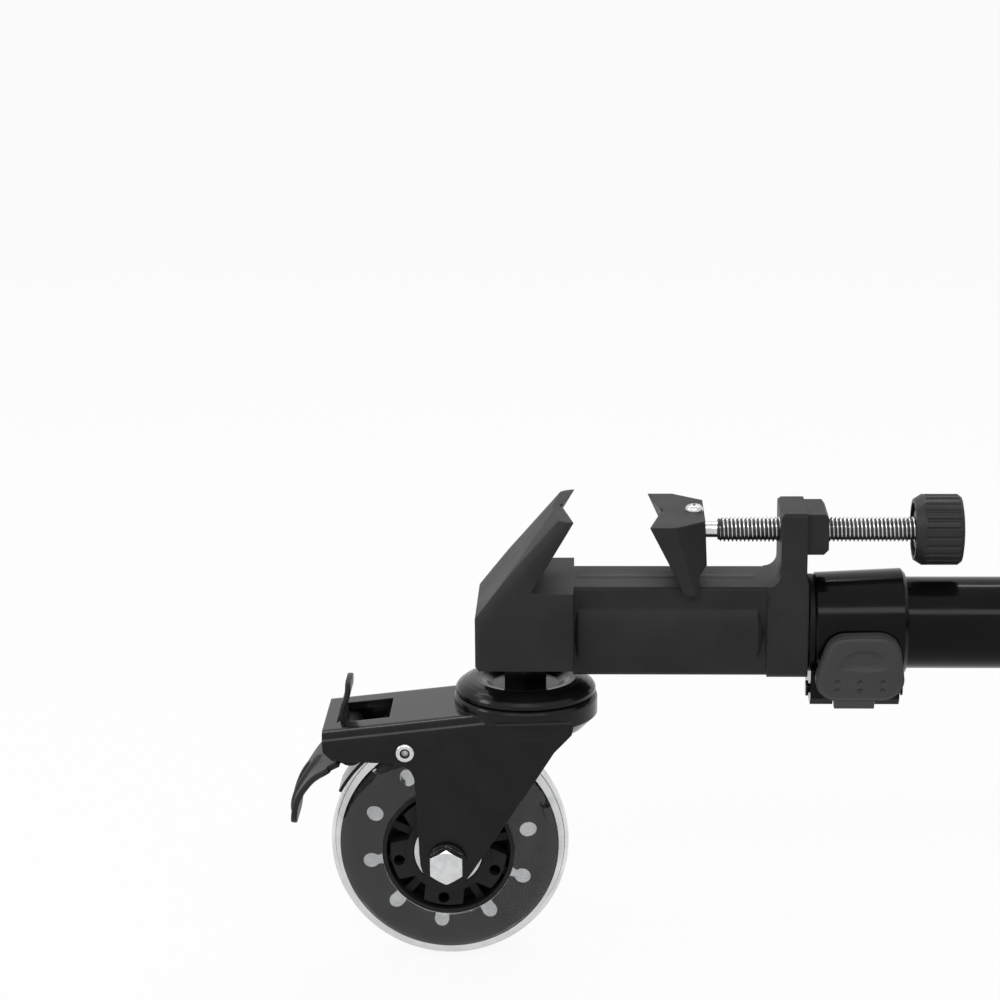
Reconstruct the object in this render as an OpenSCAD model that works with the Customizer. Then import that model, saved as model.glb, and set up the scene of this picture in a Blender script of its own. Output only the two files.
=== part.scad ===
// Three-legged rolling base for a camera tripod.
// Each leg carries a clamp for one tripod foot and a braked swivel caster.
// Lengths are millimetres. A leg is drawn with its own axis along X: x = 0 is the
// caster's swivel axis, +x runs to the hub, and z = 0 is the middle of the leg tube.

/* [Dolly] */
// Distance from the hub's axis to each caster's swivel axis with the legs pushed in
spread_radius = 420; // [410:5:480]
// Distance from the hub's axis to each leg's fold pivot
pivot_radius = 75; // [72:1:80]
// Angle that a side leg folds through to lie beside the fixed leg
fold_angle = 120; // [118:1:122]
// Furthest that the inner tube pulls out of a leg
leg_travel = 150; // [100:5:150]

/* [Tubes] */
// Outer tube's outside diameter
outer_tube_d = 28.6; // [28:0.1:29]
// Outer tube's wall
outer_tube_wall = 1.6; // [1.4:0.1:2]
// Inner tube's wall
inner_tube_wall = 1.5; // [1.2:0.1:2.5]
// Sliding clearance between the two tubes, all round
tube_fit = 0.2; // [0.15:0.05:0.3]
// Length of inner tube that stays inside at full travel
tube_engagement = 45; // [40:1:60]

/* [Foot clamp] */
// Width of both jaws across the leg
jaw_w = 42; // [38:1:44]
// Height of the fixed jaw's tips above the leg axis
jaw_tip_z = 37.5; // [36:0.5:40]
// Place of the fixed jaw's tips along the leg
fixed_tip_x = 15.4; // [14:0.2:17]
// Place of the sliding jaw's tips along the leg, at rest
slide_tip_x = 38.5; // [37:0.5:42]
// Depth of the V in each jaw
jaw_v_depth = 5; // [3:0.5:6]
// Width of the body's beam, which is the sliding jaw's rail
rail_w = 25.4; // [24:0.2:26]
// Height of the rail's top above the leg axis
rail_top_z = 14.8; // [14.6:0.2:16]
// Clearance between the sliding jaw and the rail
rail_fit = 0.3; // [0.2:0.05:0.5]
// Height of the clamp screw above the leg axis
screw_z = 30; // [29.5:0.5:31]
// Clamp screw's outside diameter
screw_d = 7.8; // [7:0.1:8]
// Running clearance round a turning screw or pin
running_fit = 0.05; // [0.03:0.01:0.08]
// Grip knob's diameter
knob_d = 22; // [18:0.5:22]
// Grip knob's length
knob_len = 15; // [14:1:22]
// Number of flutes round the grip knob
knob_flutes = 24; // [16:1:30]

/* [Leg lock] */
// Collar's outside diameter at the clamp end
collar_d0 = 31.4; // [31:0.1:33]
// Collar's outside diameter at the tube end
collar_d1 = 34; // [33:0.1:34.2]
// Collar's length
collar_len = 28.5; // [27:0.5:30]
// Thickness of the lock lever's paddle
lever_t = 3; // [2:0.5:4]

/* [Caster] */
// Wheel's diameter
wheel_d = 76; // [72:1:78]
// Wheel's width
wheel_w = 24; // [20:1:26]
// Height from the wheel's axle up to the leg axis
axle_drop = 72.5; // [71.5:0.5:75]
// Distance that the axle trails behind the swivel axis
trail = 24.5; // [22:0.5:27]
// Width of the fork outside
fork_w = 39.6; // [39:0.2:42]
// Thickness of the fork's pressed steel
fork_t = 2.5; // [2:0.1:3]
// Diameter of the swivel's races
swivel_d = 44; // [42:0.5:46]
// Number of balls in the swivel
ball_count = 12; // [8:1:16]
// Number of spokes in the wheel's core
spoke_count = 10; // [6:1:12]

/* [Hub] */
// Thickness of each hub plate
plate_t = 5; // [4:0.5:8]
// Radius of the plates' middle
hub_r = 36; // [30:1:44]
// Radius of the plates round each pivot
lobe_r = 29; // [28:0.5:32]
// Radius of the pillar between the plates
pillar_r = 26; // [20:1:30]

/* [Hidden] */
$fn = 48;
// Overlap that makes one cut pass cleanly through a face
cut = 0.1;
// Clearance of a part that is seated and doesn't turn
seat = 0.02;
LEGS = [1, 2, 3];
LEG_PARTS = ["leg_tube", "leg_plug", "lock_collar", "lock_lever", "inner_tube", "clamp_body",
    "swivel_bolt", "swivel_race", "swivel_balls", "sliding_jaw", "clamp_screw", "clamp_knob",
    "fork", "axle", "brake_spring", "brake_pedal", "tyre", "wheel_core", "bearings"];

// Colours
casting_black = [0.16, 0.16, 0.165];
enamel_black = [0.05, 0.05, 0.055];
plastic_black = [0.2, 0.2, 0.205];
zinc_silver = [0.78, 0.79, 0.8];
smoke_clear = [0.55, 0.56, 0.58];

// Tubes
outer_r = outer_tube_d / 2;
outer_bore_r = outer_r - outer_tube_wall;
inner_r = outer_bore_r - tube_fit;
inner_bore_r = inner_r - inner_tube_wall;

// Hub heights: the hub's top face is z = 0 of the whole dolly
hub_half_gap = outer_r + 0.3;
leg_z = -(hub_half_gap + plate_t);
pivot_x = spread_radius - pivot_radius;
plug_r = outer_r - 0.3;
plug_half_h = hub_half_gap - 0.2;
plug_neck = 17.2;
plug_spigot = 25;
tube_x1 = pivot_x - plug_neck;
pivot_bolt_r = 4;
fix_bolt_r = 3;
fix_bolt_x = tube_x1 - 12;
cap_screw_r = 2.48;
flush_gap = 0.1;
post_r = 4;
post_along = 14;
post_off = plug_r + 0.4 + post_r;

// Clamp body
head_x0 = -15;
head_x1 = 15.2;
head_bottom_z = -9.6;
slope_z = 8.3;
slope_top_x = 10.6;
fixed_face_angle = 59.4;
slide_face_angle = 66.5;
rail_bottom_z = -13.5;
housing_r = outer_r + 0.7;
flange_x0 = 74.8;
flange_x1 = 87.4;
flange_half_w = outer_r - 0.1;
post_x0 = 78.9;
post_x1 = 86.9;
post_half_w = 11.8;
post_top_z = screw_z + 7.8;
boss_x1 = 93.5;
insert_r = 5.6;
insert_x0 = 84.5;
inner_tube_x0 = 30;
stem_r = 4;
stem_top_z = 9;

// Sliding jaw
jaw_depth = 17;
jaw_ridge = 7.7;
jaw_back_x = slide_tip_x + jaw_depth;
jaw_foot_z = rail_top_z - 1.8;
jaw_top_z = jaw_tip_z - 1.5;
spigot_r = 2.5;
spigot_len = 7.8;
neck_len = 4.3;
groove_r = 1.7;
lock_screw_x = jaw_back_x - 3;

// Leg lock
collar_gap = 2.1;
collar_x0 = flange_x1 + collar_gap;
collar_x1 = collar_x0 + collar_len;
collar_lip = 6;
tube_x0 = collar_x0 + collar_lip;
inner_tube_x1 = collar_x0 + leg_travel + tube_engagement;
lever_pin_y = -8.5;
lever_pin_z = -18.8;
lever_pin_r = 1.5;
lever_hub_len = 12.3;
lever_hub_x0 = collar_x0 + 6.4;
lever_hub_x1 = lever_hub_x0 + lever_hub_len;
lever_hub_r = 3.6;
lever_sweep_r = 7;
ear_bottom_z = -23.4;

// Swivel
race_r = swivel_d / 2;
race_bottom_z = -22;
crown_top_z = race_bottom_z - 0.4;
crown_r = race_r + 0.6;
ball_r = 2;
ball_ring_r = race_r - 6;
ball_z = (race_bottom_z + crown_top_z) / 2;
dish_z = -20;

// Wheel
wheel_r = wheel_d / 2;
axle_z = -axle_drop;
axle_x = -trail;
core_rim_r = wheel_r - 5;
core_ring_r = 21;
core_ring_inner_r = 19.6;
core_hub_r = 13.2;
core_disc_half = 2.6;
bearing_r = 11;
bearing_w = 7;
axle_sleeve_r = 4;
axle_bolt_r = 3;

// Fork
fork_half = fork_w / 2;
fork_inner = fork_half - fork_t;
arm_x0 = -63.5;
arm_top_z0 = -30.8;
arm_rise = 6.5;
leg_end_r = 8.5;
fold_r = 4.8;
bend_x = -17.4;
bend_in = 3.2;
arm_x1 = -9;
crown_low_z = -33;
crown_slope = 4;
slot_x0 = -59;
slot_x1 = -42.5;
slot_half_w = 9.5;
rivet_x = -37.1;
rivet_z = -36.5;
rivet_r = 2;

// Brake
brake_x = -56;
brake_z = -36.4;
brake_pin_r = 1.8;
brake_pin_half = fork_half - 1.5;
cam_r = 4.2;
leaf_r = wheel_r + 0.4;
leaf_t = 1;
pedal_r = 30;
pedal_centre_x = -46.3;
pedal_centre_z = -71;
pedal_t = 1.8;

// Points along an arc of a circle
function arc(cx, cy, r, a0, a1, steps = 8) =
    [for (i = [0:steps]) let(a = a0 + (a1 - a0) * i / steps) [cx + r * cos(a), cy + r * sin(a)]];

// Turn of a leg about the hub's axis
function leg_turn(leg) = leg == 1 ? 0 : leg == 2 ? 120 : -120;

// Places children that are drawn in a leg's own frame
module on_leg(leg) {
    rotate([0, 0, leg_turn(leg)])
        translate([-spread_radius, 0, leg_z])
            children();
}

// Round bar along X
module rod_x(r, x0, x1) {
    translate([x0, 0, 0])
        rotate([0, 90, 0])
            cylinder(r = r, h = x1 - x0);
}

// Round bar along Y
module rod_y(r, y0, y1) {
    translate([0, y1, 0])
        rotate([90, 0, 0])
            cylinder(r = r, h = y1 - y0);
}

// Upright round bar
module rod_z(r, z0, z1) {
    translate([0, 0, z0])
        cylinder(r = r, h = z1 - z0);
}

// Turned shape about X, from a profile of radius and place
module turned_x() {
    rotate([0, 90, 0])
        rotate_extrude()
            children();
}

// Turned shape about Y, from a profile of radius and place
module turned_y() {
    rotate([-90, 0, 0])
        rotate_extrude()
            children();
}

// Side view, X and Z, given a width centred on the leg axis
module side_prism(half_w) {
    rotate([90, 0, 0])
        linear_extrude(height = 2 * half_w, center = true)
            children();
}

// Cross-section, Y and Z, drawn out along X
module cross_prism(x0, x1) {
    translate([x0, 0, 0])
        rotate([90, 0, 90])
            linear_extrude(height = x1 - x0)
                children();
}

// Box between two corners
module box(low, high) {
    translate(low)
        cube(high - low);
}

// Hexagon prism along Z, sized across its flats
module hex_z(flats, z0, z1) {
    translate([0, 0, z0])
        cylinder(d = flats / cos(30), h = z1 - z0, $fn = 6);
}

// Hub

// Outline that both hub plates share
module hub_outline() {
    for (leg = LEGS)
        rotate([0, 0, leg_turn(leg)])
            hull() {
                circle(r = hub_r);
                translate([-pivot_radius, 0])
                    circle(r = lobe_r);
            }
    hull() {
        translate([-pivot_radius, 0])
            circle(r = lobe_r);
        translate([-spread_radius + fix_bolt_x, 0])
            circle(r = lobe_r / 2);
    }
}

// Places where a leg's stop posts stand, measured from its pivot
function stop_spots(leg) =
    leg == 1 ? [[-post_along, post_off], [-post_along, -post_off]]
    : let(side = leg == 2 ? 1 : -1, c = cos(fold_angle), s = sin(fold_angle))
        [[-post_along, -side * post_off],
         [post_off * s - post_along * c, side * (post_along * s + post_off * c)]];

// Places children on each leg's pivot
module at_pivots() {
    for (leg = LEGS)
        rotate([0, 0, leg_turn(leg)])
            translate([-pivot_radius, 0, 0])
                children();
}

module at_fixing_bolt() {
    translate([-spread_radius + fix_bolt_x, 0, 0])
        children();
}

module hub_holes(z0, z1) {
    at_pivots()
        rod_z(pivot_bolt_r + running_fit, z0, z1);
    at_fixing_bolt()
        rod_z(fix_bolt_r + running_fit, z0, z1);
}

// Hole and countersink in the top plate for one bolt
module flush_room(r) {
    hole_r = r + running_fit;
    rotate_extrude()
        polygon([[0, -plate_t - cut], [hole_r, -plate_t - cut], [hole_r, -r - flush_gap],
            [hole_r + r + flush_gap + cut, cut], [0, cut]]);
}

// Countersunk bolt with a hexagon socket, its top just under the plate's face
module flush_bolt(r, end_z) {
    difference() {
        rotate_extrude()
            polygon([[0, end_z], [r, end_z], [r, -r - flush_gap], [2 * r, -flush_gap], [0, -flush_gap]]);
        hex_z(1.3 * r, -0.75 * r, cut);
    }
}

cap_screw_ring_r = pillar_r * 0.62;
module at_cap_screws() {
    for (i = [0:2])
        rotate([0, 0, i * 120])
            translate([cap_screw_ring_r, 0, 0])
                children();
}

module hub_base() {
    color(casting_black)
        difference() {
            translate([0, 0, leg_z])
                union() {
                    translate([0, 0, -hub_half_gap - plate_t])
                        linear_extrude(height = plate_t)
                            hub_outline();
                    rod_z(pillar_r, -hub_half_gap - cut, hub_half_gap);
                    for (leg = LEGS)
                        rotate([0, 0, leg_turn(leg)])
                            translate([-pivot_radius, 0, 0])
                                for (spot = stop_spots(leg))
                                    translate([spot[0], spot[1], 0])
                                        rod_z(post_r, -hub_half_gap - cut, hub_half_gap);
                }
            hub_holes(2 * leg_z - cut, leg_z);
            at_cap_screws()
                rod_z(2.5, leg_z, cut);
        }
}

module hub_top_plate() {
    color(casting_black)
        difference() {
            translate([0, 0, -plate_t])
                linear_extrude(height = plate_t)
                    hub_outline();
            at_pivots()
                flush_room(pivot_bolt_r);
            at_fixing_bolt()
                flush_room(fix_bolt_r);
            at_cap_screws()
                flush_room(cap_screw_r);
        }
}

// Flush bolt with the washer and nut that clamp the two plates at one place
module plate_bolt(r, flats) {
    washer_r = 0.62 * flats;
    washer_t = 1.2;
    nut_h = 0.8 * 2 * r;
    nut_z = 2 * leg_z - washer_t - nut_h;
    flush_bolt(r, nut_z - 2);
    difference() {
        union() {
            rod_z(washer_r, 2 * leg_z - washer_t, 2 * leg_z);
            hex_z(flats, nut_z, 2 * leg_z - washer_t);
        }
        rod_z(r + seat, nut_z - cut, 2 * leg_z + cut);
    }
}

module hub_bolts() {
    cap_screw_len = 19;
    color(zinc_silver) {
        at_pivots()
            plate_bolt(pivot_bolt_r, 13);
        at_fixing_bolt()
            plate_bolt(fix_bolt_r, 10);
        at_cap_screws()
            flush_bolt(cap_screw_r, -cap_screw_len);
    }
}

// Leg tube and its end plug

module fix_bolt_hole(leg) {
    if (leg == 1)
        translate([fix_bolt_x, 0, 0])
            rod_z(fix_bolt_r + running_fit, -outer_r - cut, outer_r + cut);
}

module leg_tube(leg) {
    color(enamel_black)
        difference() {
            rod_x(outer_r, tube_x0, tube_x1);
            rod_x(outer_bore_r, tube_x0 - cut, tube_x1 + cut);
            fix_bolt_hole(leg);
        }
}

module leg_plug(leg) {
    color(plastic_black)
        difference() {
            union() {
                translate([pivot_x, 0, 0])
                    rod_z(plug_r, -plug_half_h, plug_half_h);
                box([tube_x1, -plug_r, -plug_half_h], [pivot_x, plug_r, plug_half_h]);
                rod_x(outer_bore_r - 0.05, tube_x1 - plug_spigot, tube_x1 + cut);
            }
            translate([pivot_x, 0, 0])
                rod_z(pivot_bolt_r + running_fit, -plug_half_h - cut, plug_half_h + cut);
            fix_bolt_hole(leg);
        }
}

// Leg lock

module ear_outline() {
    polygon([[-12.5, -12], [-12.5, -21], [-10.5, ear_bottom_z], [6.5, ear_bottom_z], [9, -21], [9, -10]]);
}

// Fixed parts of the quick lock: split collar, and the pin that its lever turns on
module lock_collar() {
    ear_x0 = collar_x0 - 1;
    ear_x1 = collar_x1 - 2;
    pocket_x0 = lever_hub_x0 - 0.4;
    pocket_x1 = lever_hub_x1 + 0.4;
    pocket_y = lever_pin_y - 0.7;
    color(enamel_black)
        difference() {
            union() {
                turned_x()
                    polygon([[inner_r + 0.15, collar_x0], [collar_d0 / 2 - 0.8, collar_x0],
                        [collar_d0 / 2, collar_x0 + 0.8], [collar_d1 / 2, collar_x1 - 1.2],
                        [collar_d1 / 2 - 1.2, collar_x1], [outer_r + seat, collar_x1],
                        [outer_r + seat, tube_x0 - 0.2], [inner_r + 0.15, tube_x0 - 0.2]]);
                difference() {
                    cross_prism(ear_x0, ear_x1)
                        ear_outline();
                    rod_x((collar_d0 + outer_tube_d) / 4, ear_x0 - cut, ear_x1 + cut);
                }
            }
            box([collar_x0 - cut, -0.7, -collar_d1], [collar_x1 + cut, 0.7, 0]);
            box([pocket_x0, -20, -collar_d1], [pocket_x1, pocket_y, -13.2]);
            translate([0, lever_pin_y, lever_pin_z]) {
                rod_x(lever_hub_r + 0.4, pocket_x0, pocket_x1);
                intersection() {
                    rod_x(lever_sweep_r, pocket_x0, pocket_x1);
                    box([pocket_x0, -collar_d1, -collar_d1], [pocket_x1, collar_d1, 2.3]);
                }
                rod_x(lever_pin_r + seat, ear_x0 - cut, ear_x1 + cut);
            }
        }
    color(zinc_silver)
        translate([0, lever_pin_y, lever_pin_z]) {
            rod_x(lever_pin_r, ear_x0 - 0.5, ear_x1 + 0.6);
            rod_x(2.4, ear_x0 - 1.3, ear_x0 - 0.5 + seat);
            rod_x(2.2, ear_x1 + 0.6 - seat, ear_x1 + 1.2);
        }
}

// Paddle outline in the lever's own plane, along the leg and up the paddle
module lever_outline() {
    hull() {
        translate([collar_x0 + 7, -12.8])
            circle(r = 7, $fn = 32);
        translate([collar_x0 + 20, -12.6])
            circle(r = 7.2, $fn = 32);
        translate([collar_x0 + 9.2, -4.6])
            circle(r = 6.6, $fn = 32);
        translate([collar_x0 + 19.2, -4.6])
            circle(r = 6.8, $fn = 32);
    }
}

module lock_lever() {
    lean = 8.4;
    face_y = -(collar_d1 / 2 + 0.9) / cos(lean) + 0.45;
    toe_z = ear_bottom_z - 0.8;
    color(plastic_black)
        difference() {
            union() {
                translate([0, face_y, 0])
                    rotate([lean, 0, 0])
                        translate([0, -lever_t / 2, 0])
                            side_prism(lever_t / 2)
                                lever_outline();
                translate([0, lever_pin_y, lever_pin_z])
                    rod_x(lever_hub_r, lever_hub_x0, lever_hub_x1);
                cross_prism(lever_hub_x0, lever_hub_x1)
                    polygon([[-15.6, -13.9], [-16, -19], [-12.5, toe_z], [-9.6, toe_z],
                        [lever_pin_y, lever_pin_z - lever_hub_r], [lever_pin_y, lever_pin_z + lever_hub_r]]);
            }
            translate([0, lever_pin_y, lever_pin_z])
                rod_x(lever_pin_r + running_fit, lever_hub_x0 - cut, lever_hub_x1 + cut);
        }
}

// Foot clamp

module inner_tube() {
    color(enamel_black)
        difference() {
            rod_x(inner_r, inner_tube_x0, inner_tube_x1);
            rod_x(inner_bore_r, inner_tube_x0 - cut, inner_tube_x1 + cut);
        }
}

// Space in front of a slanted V face. The face passes through the tip, leans back
// by the given angle from level, and faces +x where the side is 1 or -x where it is -1.
module v_face_space(tip_x, tip_z, angle, side) {
    reach = 90;
    depth = jaw_v_depth * sin(angle);
    round_r = 6;
    half = jaw_w / 2;
    translate([tip_x, 0, tip_z])
        rotate([0, side * (90 - angle), 0])
            translate([0, 0, -reach])
                linear_extrude(height = 2 * reach)
                    scale([side, 1])
                        polygon(concat([[reach, -2 * half], [jaw_v_depth, -2 * half], [0, -half - cut]],
                            [for (i = [-4:4]) let(y = i * round_r / 8)
                                [-depth + round_r / 8 + depth / half * abs(y) * 0.5
                                    + y * y / round_r * 0.5 - round_r / 16, y]],
                            [[0, half + cut], [jaw_v_depth, 2 * half], [reach, 2 * half]]));
}

// Head: block under the fixed jaw and the jaw itself
module clamp_head() {
    slope = [slope_top_x - head_x0, jaw_tip_z - slope_z];
    slope_angle = atan2(slope[0], slope[1]);
    ridge = 1.6;
    edge_r = 4.6;
    half = jaw_w / 2;
    corner = 1.4;
    difference() {
        intersection() {
            side_prism(half)
                polygon([[head_x0, head_bottom_z + 1], [head_x0 + 1, head_bottom_z],
                    [head_x1, head_bottom_z], [head_x1, rail_top_z], [fixed_tip_x + 1, jaw_tip_z],
                    [slope_top_x - ridge, jaw_tip_z], [head_x0, slope_z - ridge]]);
            translate([0, 0, head_bottom_z - cut])
                linear_extrude(height = 2 * jaw_tip_z)
                    polygon([[head_x0, -half + corner], [head_x0 + corner, -half], [fixed_tip_x + 1, -half],
                        [fixed_tip_x + 1, half], [head_x0 + corner, half], [head_x0, half - corner]]);
            translate([head_x0, 0, slope_z])
                rotate([0, slope_angle, 0])
                    translate([0, 0, -60])
                        linear_extrude(height = 120)
                            polygon(concat([[-ridge, 0]], arc(edge_r, edge_r - half, edge_r, 180, 270, 6),
                                [[60, -half], [60, half]], arc(edge_r, half - edge_r, edge_r, 90, 180, 6)));
        }
        intersection() {
            v_face_space(fixed_tip_x, jaw_tip_z, fixed_face_angle, 1);
            box([head_x0, -jaw_w, rail_top_z + 0.2], [3 * fixed_tip_x, jaw_w, 2 * jaw_tip_z]);
        }
    }
}

// Rear flange, the post on it, and the boss that the screw runs through
module clamp_post() {
    fillet = 4;
    intersection() {
        side_prism(2 * jaw_w)
            polygon(concat([[flange_x0, rail_bottom_z - 0.3]],
                [[flange_x0, rail_top_z]],
                arc(post_x0 - fillet, rail_top_z + fillet, fillet, -80, 0),
                [[post_x0, post_top_z - 1], [post_x0 + 1, post_top_z], [post_x1, post_top_z],
                 [post_x1, rail_top_z + 3], [flange_x1, rail_top_z + 1], [flange_x1, rail_bottom_z - 0.3]]));
        cross_prism(flange_x0 - cut, flange_x1 + cut)
            polygon([[-flange_half_w, rail_bottom_z + 1], [-flange_half_w + 1.3, rail_bottom_z - 0.3],
                [flange_half_w - 1.3, rail_bottom_z - 0.3], [flange_half_w, rail_bottom_z + 1],
                [flange_half_w, 8], [post_half_w, 20], [post_half_w, post_top_z - 1],
                [post_half_w - 1, post_top_z], [-post_half_w + 1, post_top_z], [-post_half_w, post_top_z - 1],
                [-post_half_w, 20], [-flange_half_w, 8]]);
    }
    side_prism(post_half_w - 2)
        polygon([[post_x1 - cut, screw_z - 5.5], [boss_x1 - 1.5, screw_z - 5.5], [boss_x1, screw_z - 4],
            [boss_x1, post_top_z - 2], [boss_x1 - 1, post_top_z - 0.6], [post_x1 - cut, post_top_z - 0.6]]);
}

// Hollow fillets between the rail's two sides and an upright face across them
module rail_fillet(face_x, side, r, top_z) {
    half = rail_w / 2;
    for (flip = [-1, 1])
        translate([face_x, flip * half, rail_bottom_z + 1])
            scale([side, flip, 1])
                linear_extrude(height = top_z - rail_bottom_z - 1)
                    polygon(concat([[-0.2, -0.2]], [[r, -0.2]], arc(r, r, r, 270, 180, 6), [[-0.2, r]]));
}

module clamp_body() {
    half = rail_w / 2;
    color(casting_black)
        difference() {
            union() {
                clamp_head();
                cross_prism(head_x1 - cut, flange_x0 + cut)
                    polygon([[-half, rail_bottom_z + 1], [-half + 1, rail_bottom_z], [half - 1, rail_bottom_z],
                        [half, rail_bottom_z + 1], [half, rail_top_z - 0.8], [half - 0.8, rail_top_z],
                        [-half + 0.8, rail_top_z], [-half, rail_top_z - 0.8]]);
                turned_x()
                    polygon([[0, head_x1 - 0.3], [housing_r - 1.8, head_x1 - 0.3], [housing_r, head_x1 + 1.4],
                        [housing_r, flange_x0 - 3], [housing_r - 1.8, flange_x0 - 1.4], [0, flange_x0 - 1.4]]);
                rail_fillet(head_x1, 1, 1.6, rail_top_z - 1);
                rail_fillet(flange_x0, -1, flange_half_w - half - 0.1, jaw_foot_z - 0.4);
                clamp_post();
            }
            rod_x(inner_r + seat, inner_tube_x0, flange_x1 + cut);
            rod_z(stem_r + seat, head_bottom_z - cut, stem_top_z + 2);
            translate([0, 0, screw_z]) {
                rod_x(screw_d / 2 + running_fit, post_x0 - cut, insert_x0 + cut);
                rod_x(insert_r + seat, insert_x0, boss_x1 + cut);
            }
        }
    color(zinc_silver)
        translate([0, 0, screw_z])
            difference() {
                rod_x(insert_r, insert_x0 + seat, boss_x1);
                rod_x(screw_d / 2 + running_fit, insert_x0 - cut, boss_x1 + cut);
            }
}

module sliding_jaw() {
    half = jaw_w / 2 + 0.3;
    foot_half = rail_w / 2 + 3;
    foot_x0 = slide_tip_x + (jaw_top_z - jaw_foot_z) / tan(slide_face_angle);
    color(casting_black)
        difference() {
            intersection() {
                side_prism(half)
                    polygon([[slide_tip_x, jaw_top_z], [foot_x0, jaw_foot_z], [jaw_back_x - 1.8, jaw_foot_z],
                        [jaw_back_x - 1.8, jaw_foot_z + 6], [jaw_back_x + 0.6, jaw_foot_z + 9],
                        [jaw_back_x, jaw_top_z]]);
                translate([0, 0, jaw_foot_z - cut])
                    linear_extrude(height = 2 * jaw_tip_z)
                        polygon([[slide_tip_x - 1, -half], [slide_tip_x + jaw_ridge, -half], [jaw_back_x + 1, -half + 9],
                            [jaw_back_x + 1, half - 9], [slide_tip_x + jaw_ridge, half], [slide_tip_x - 1, half]]);
                cross_prism(slide_tip_x - 1, jaw_back_x + 1)
                    polygon([[-foot_half, jaw_foot_z], [foot_half, jaw_foot_z], [half, jaw_top_z],
                        [-half, jaw_top_z]]);
            }
            v_face_space(slide_tip_x, jaw_top_z, slide_face_angle, -1);
            box([0, -rail_w / 2 - rail_fit, -jaw_tip_z],
                [jaw_back_x + cut, rail_w / 2 + rail_fit, rail_top_z + rail_fit]);
            translate([0, 0, screw_z])
                rod_x(spigot_r + running_fit, jaw_back_x - spigot_len - 0.2, jaw_back_x + 2);
            translate([lock_screw_x, 0, 0])
                rod_z(1.5 + seat, screw_z, jaw_top_z + cut);
        }
    color(zinc_silver)
        translate([lock_screw_x, 0, 0]) {
            rod_z(1.5, screw_z + groove_r + 0.1, jaw_top_z);
            difference() {
                translate([0, 0, jaw_top_z])
                    rotate_extrude()
                        polygon(concat([[0, 0], [2.8, 0]], arc(1.1, 0.2, 1.7, 0, 90, 5), [[0, 1.9]]));
                box([-1.6, -0.3, jaw_top_z + 0.9], [1.6, 0.3, jaw_top_z + 3]);
                box([-0.3, -1.6, jaw_top_z + 0.9], [0.3, 1.6, jaw_top_z + 3]);
            }
        }
}

knob_x0 = collar_x1 + 2.2;
knob_x1 = knob_x0 + knob_len;

module clamp_screw() {
    end_x = jaw_back_x - spigot_len;
    groove_half = 1.6;
    color(zinc_silver)
        translate([0, 0, screw_z])
            turned_x()
                polygon([[0, end_x], [spigot_r, end_x], [spigot_r, lock_screw_x - groove_half],
                    [groove_r, lock_screw_x - groove_half], [groove_r, lock_screw_x + groove_half],
                    [spigot_r, lock_screw_x + groove_half], [spigot_r, jaw_back_x + neck_len],
                    [screw_d / 2 - 0.8, jaw_back_x + neck_len], [screw_d / 2, jaw_back_x + neck_len + 0.8],
                    [screw_d / 2, knob_x1 - 4], [0, knob_x1 - 4]]);
}

module clamp_knob() {
    r = knob_d / 2;
    flute_r = 0.7;
    web_count = 6;
    color(plastic_black)
        translate([0, 0, screw_z])
            difference() {
                turned_x()
                    polygon([[screw_d / 2 + seat, knob_x0 + 0.6], [screw_d / 2 + 1.8, knob_x0 + 0.6],
                        [screw_d / 2 + 1.8, knob_x0 + 4], [r - 2.6, knob_x0 + 4], [r - 2.6, knob_x0],
                        [r - 1.5, knob_x0], [r, knob_x0 + 2.4], [r, knob_x1 - 1.6],
                        [r - 0.9, knob_x1 - 0.4], [r - 3, knob_x1], [0, knob_x1],
                        [0, knob_x1 - 4 + seat], [screw_d / 2 + seat, knob_x1 - 4 + seat]]);
                for (i = [0:knob_flutes - 1])
                    rotate([i * 360 / knob_flutes, 0, 0])
                        translate([0, 0, r + flute_r / 3])
                            rod_x(flute_r, knob_x0 + 3.2, knob_x1 + cut);
            }
    color(plastic_black)
        translate([0, 0, screw_z])
            for (i = [0:web_count - 1])
                rotate([i * 360 / web_count, 0, 0])
                    box([knob_x0 + 1, -0.6, screw_d / 2 + 1.8 - cut], [knob_x0 + 4 + cut, 0.6, r - 2.6 + cut]);
}

// Swivel

module swivel_bolt() {
    head_top = crown_top_z - fork_t - 0.2;
    nut_top = dish_z + 6.5;
    color(zinc_silver) {
        rod_z(stem_r, head_top - 0.1, stem_top_z);
        rotate([0, 0, 30])
            hex_z(13, head_top - 5.3, head_top);
        difference() {
            union() {
                rotate([0, 0, 30])
                    hex_z(13, dish_z, nut_top);
                rod_z(8, nut_top, head_bottom_z);
            }
            rod_z(stem_r + seat, dish_z - cut, head_bottom_z + cut);
        }
    }
}

// Ring channel that the balls run in
module ball_groove() {
    rotate_extrude()
        translate([ball_ring_r, ball_z])
            circle(r = ball_r + 0.1);
}

module swivel_race() {
    r = race_r;
    color(enamel_black)
        difference() {
            rotate_extrude()
                polygon([[stem_r + running_fit, dish_z], [r - 11.5, dish_z], [r - 9.5, dish_z + 1.4],
                    [r - 8, dish_z + 2], [r - 6.2, dish_z + 2.2], [r - 4.2, dish_z + 1.9],
                    [r - 2.3, dish_z + 1.2], [r - 0.7, dish_z + 0.1], [r, dish_z - 0.9],
                    [r, race_bottom_z], [stem_r + running_fit, race_bottom_z]]);
            ball_groove();
        }
}

module swivel_balls() {
    color(zinc_silver)
        for (i = [0:ball_count - 1])
            rotate([0, 0, i * 360 / ball_count])
                translate([ball_ring_r, 0, ball_z])
                    sphere(r = ball_r);
}

// Fork

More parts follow.
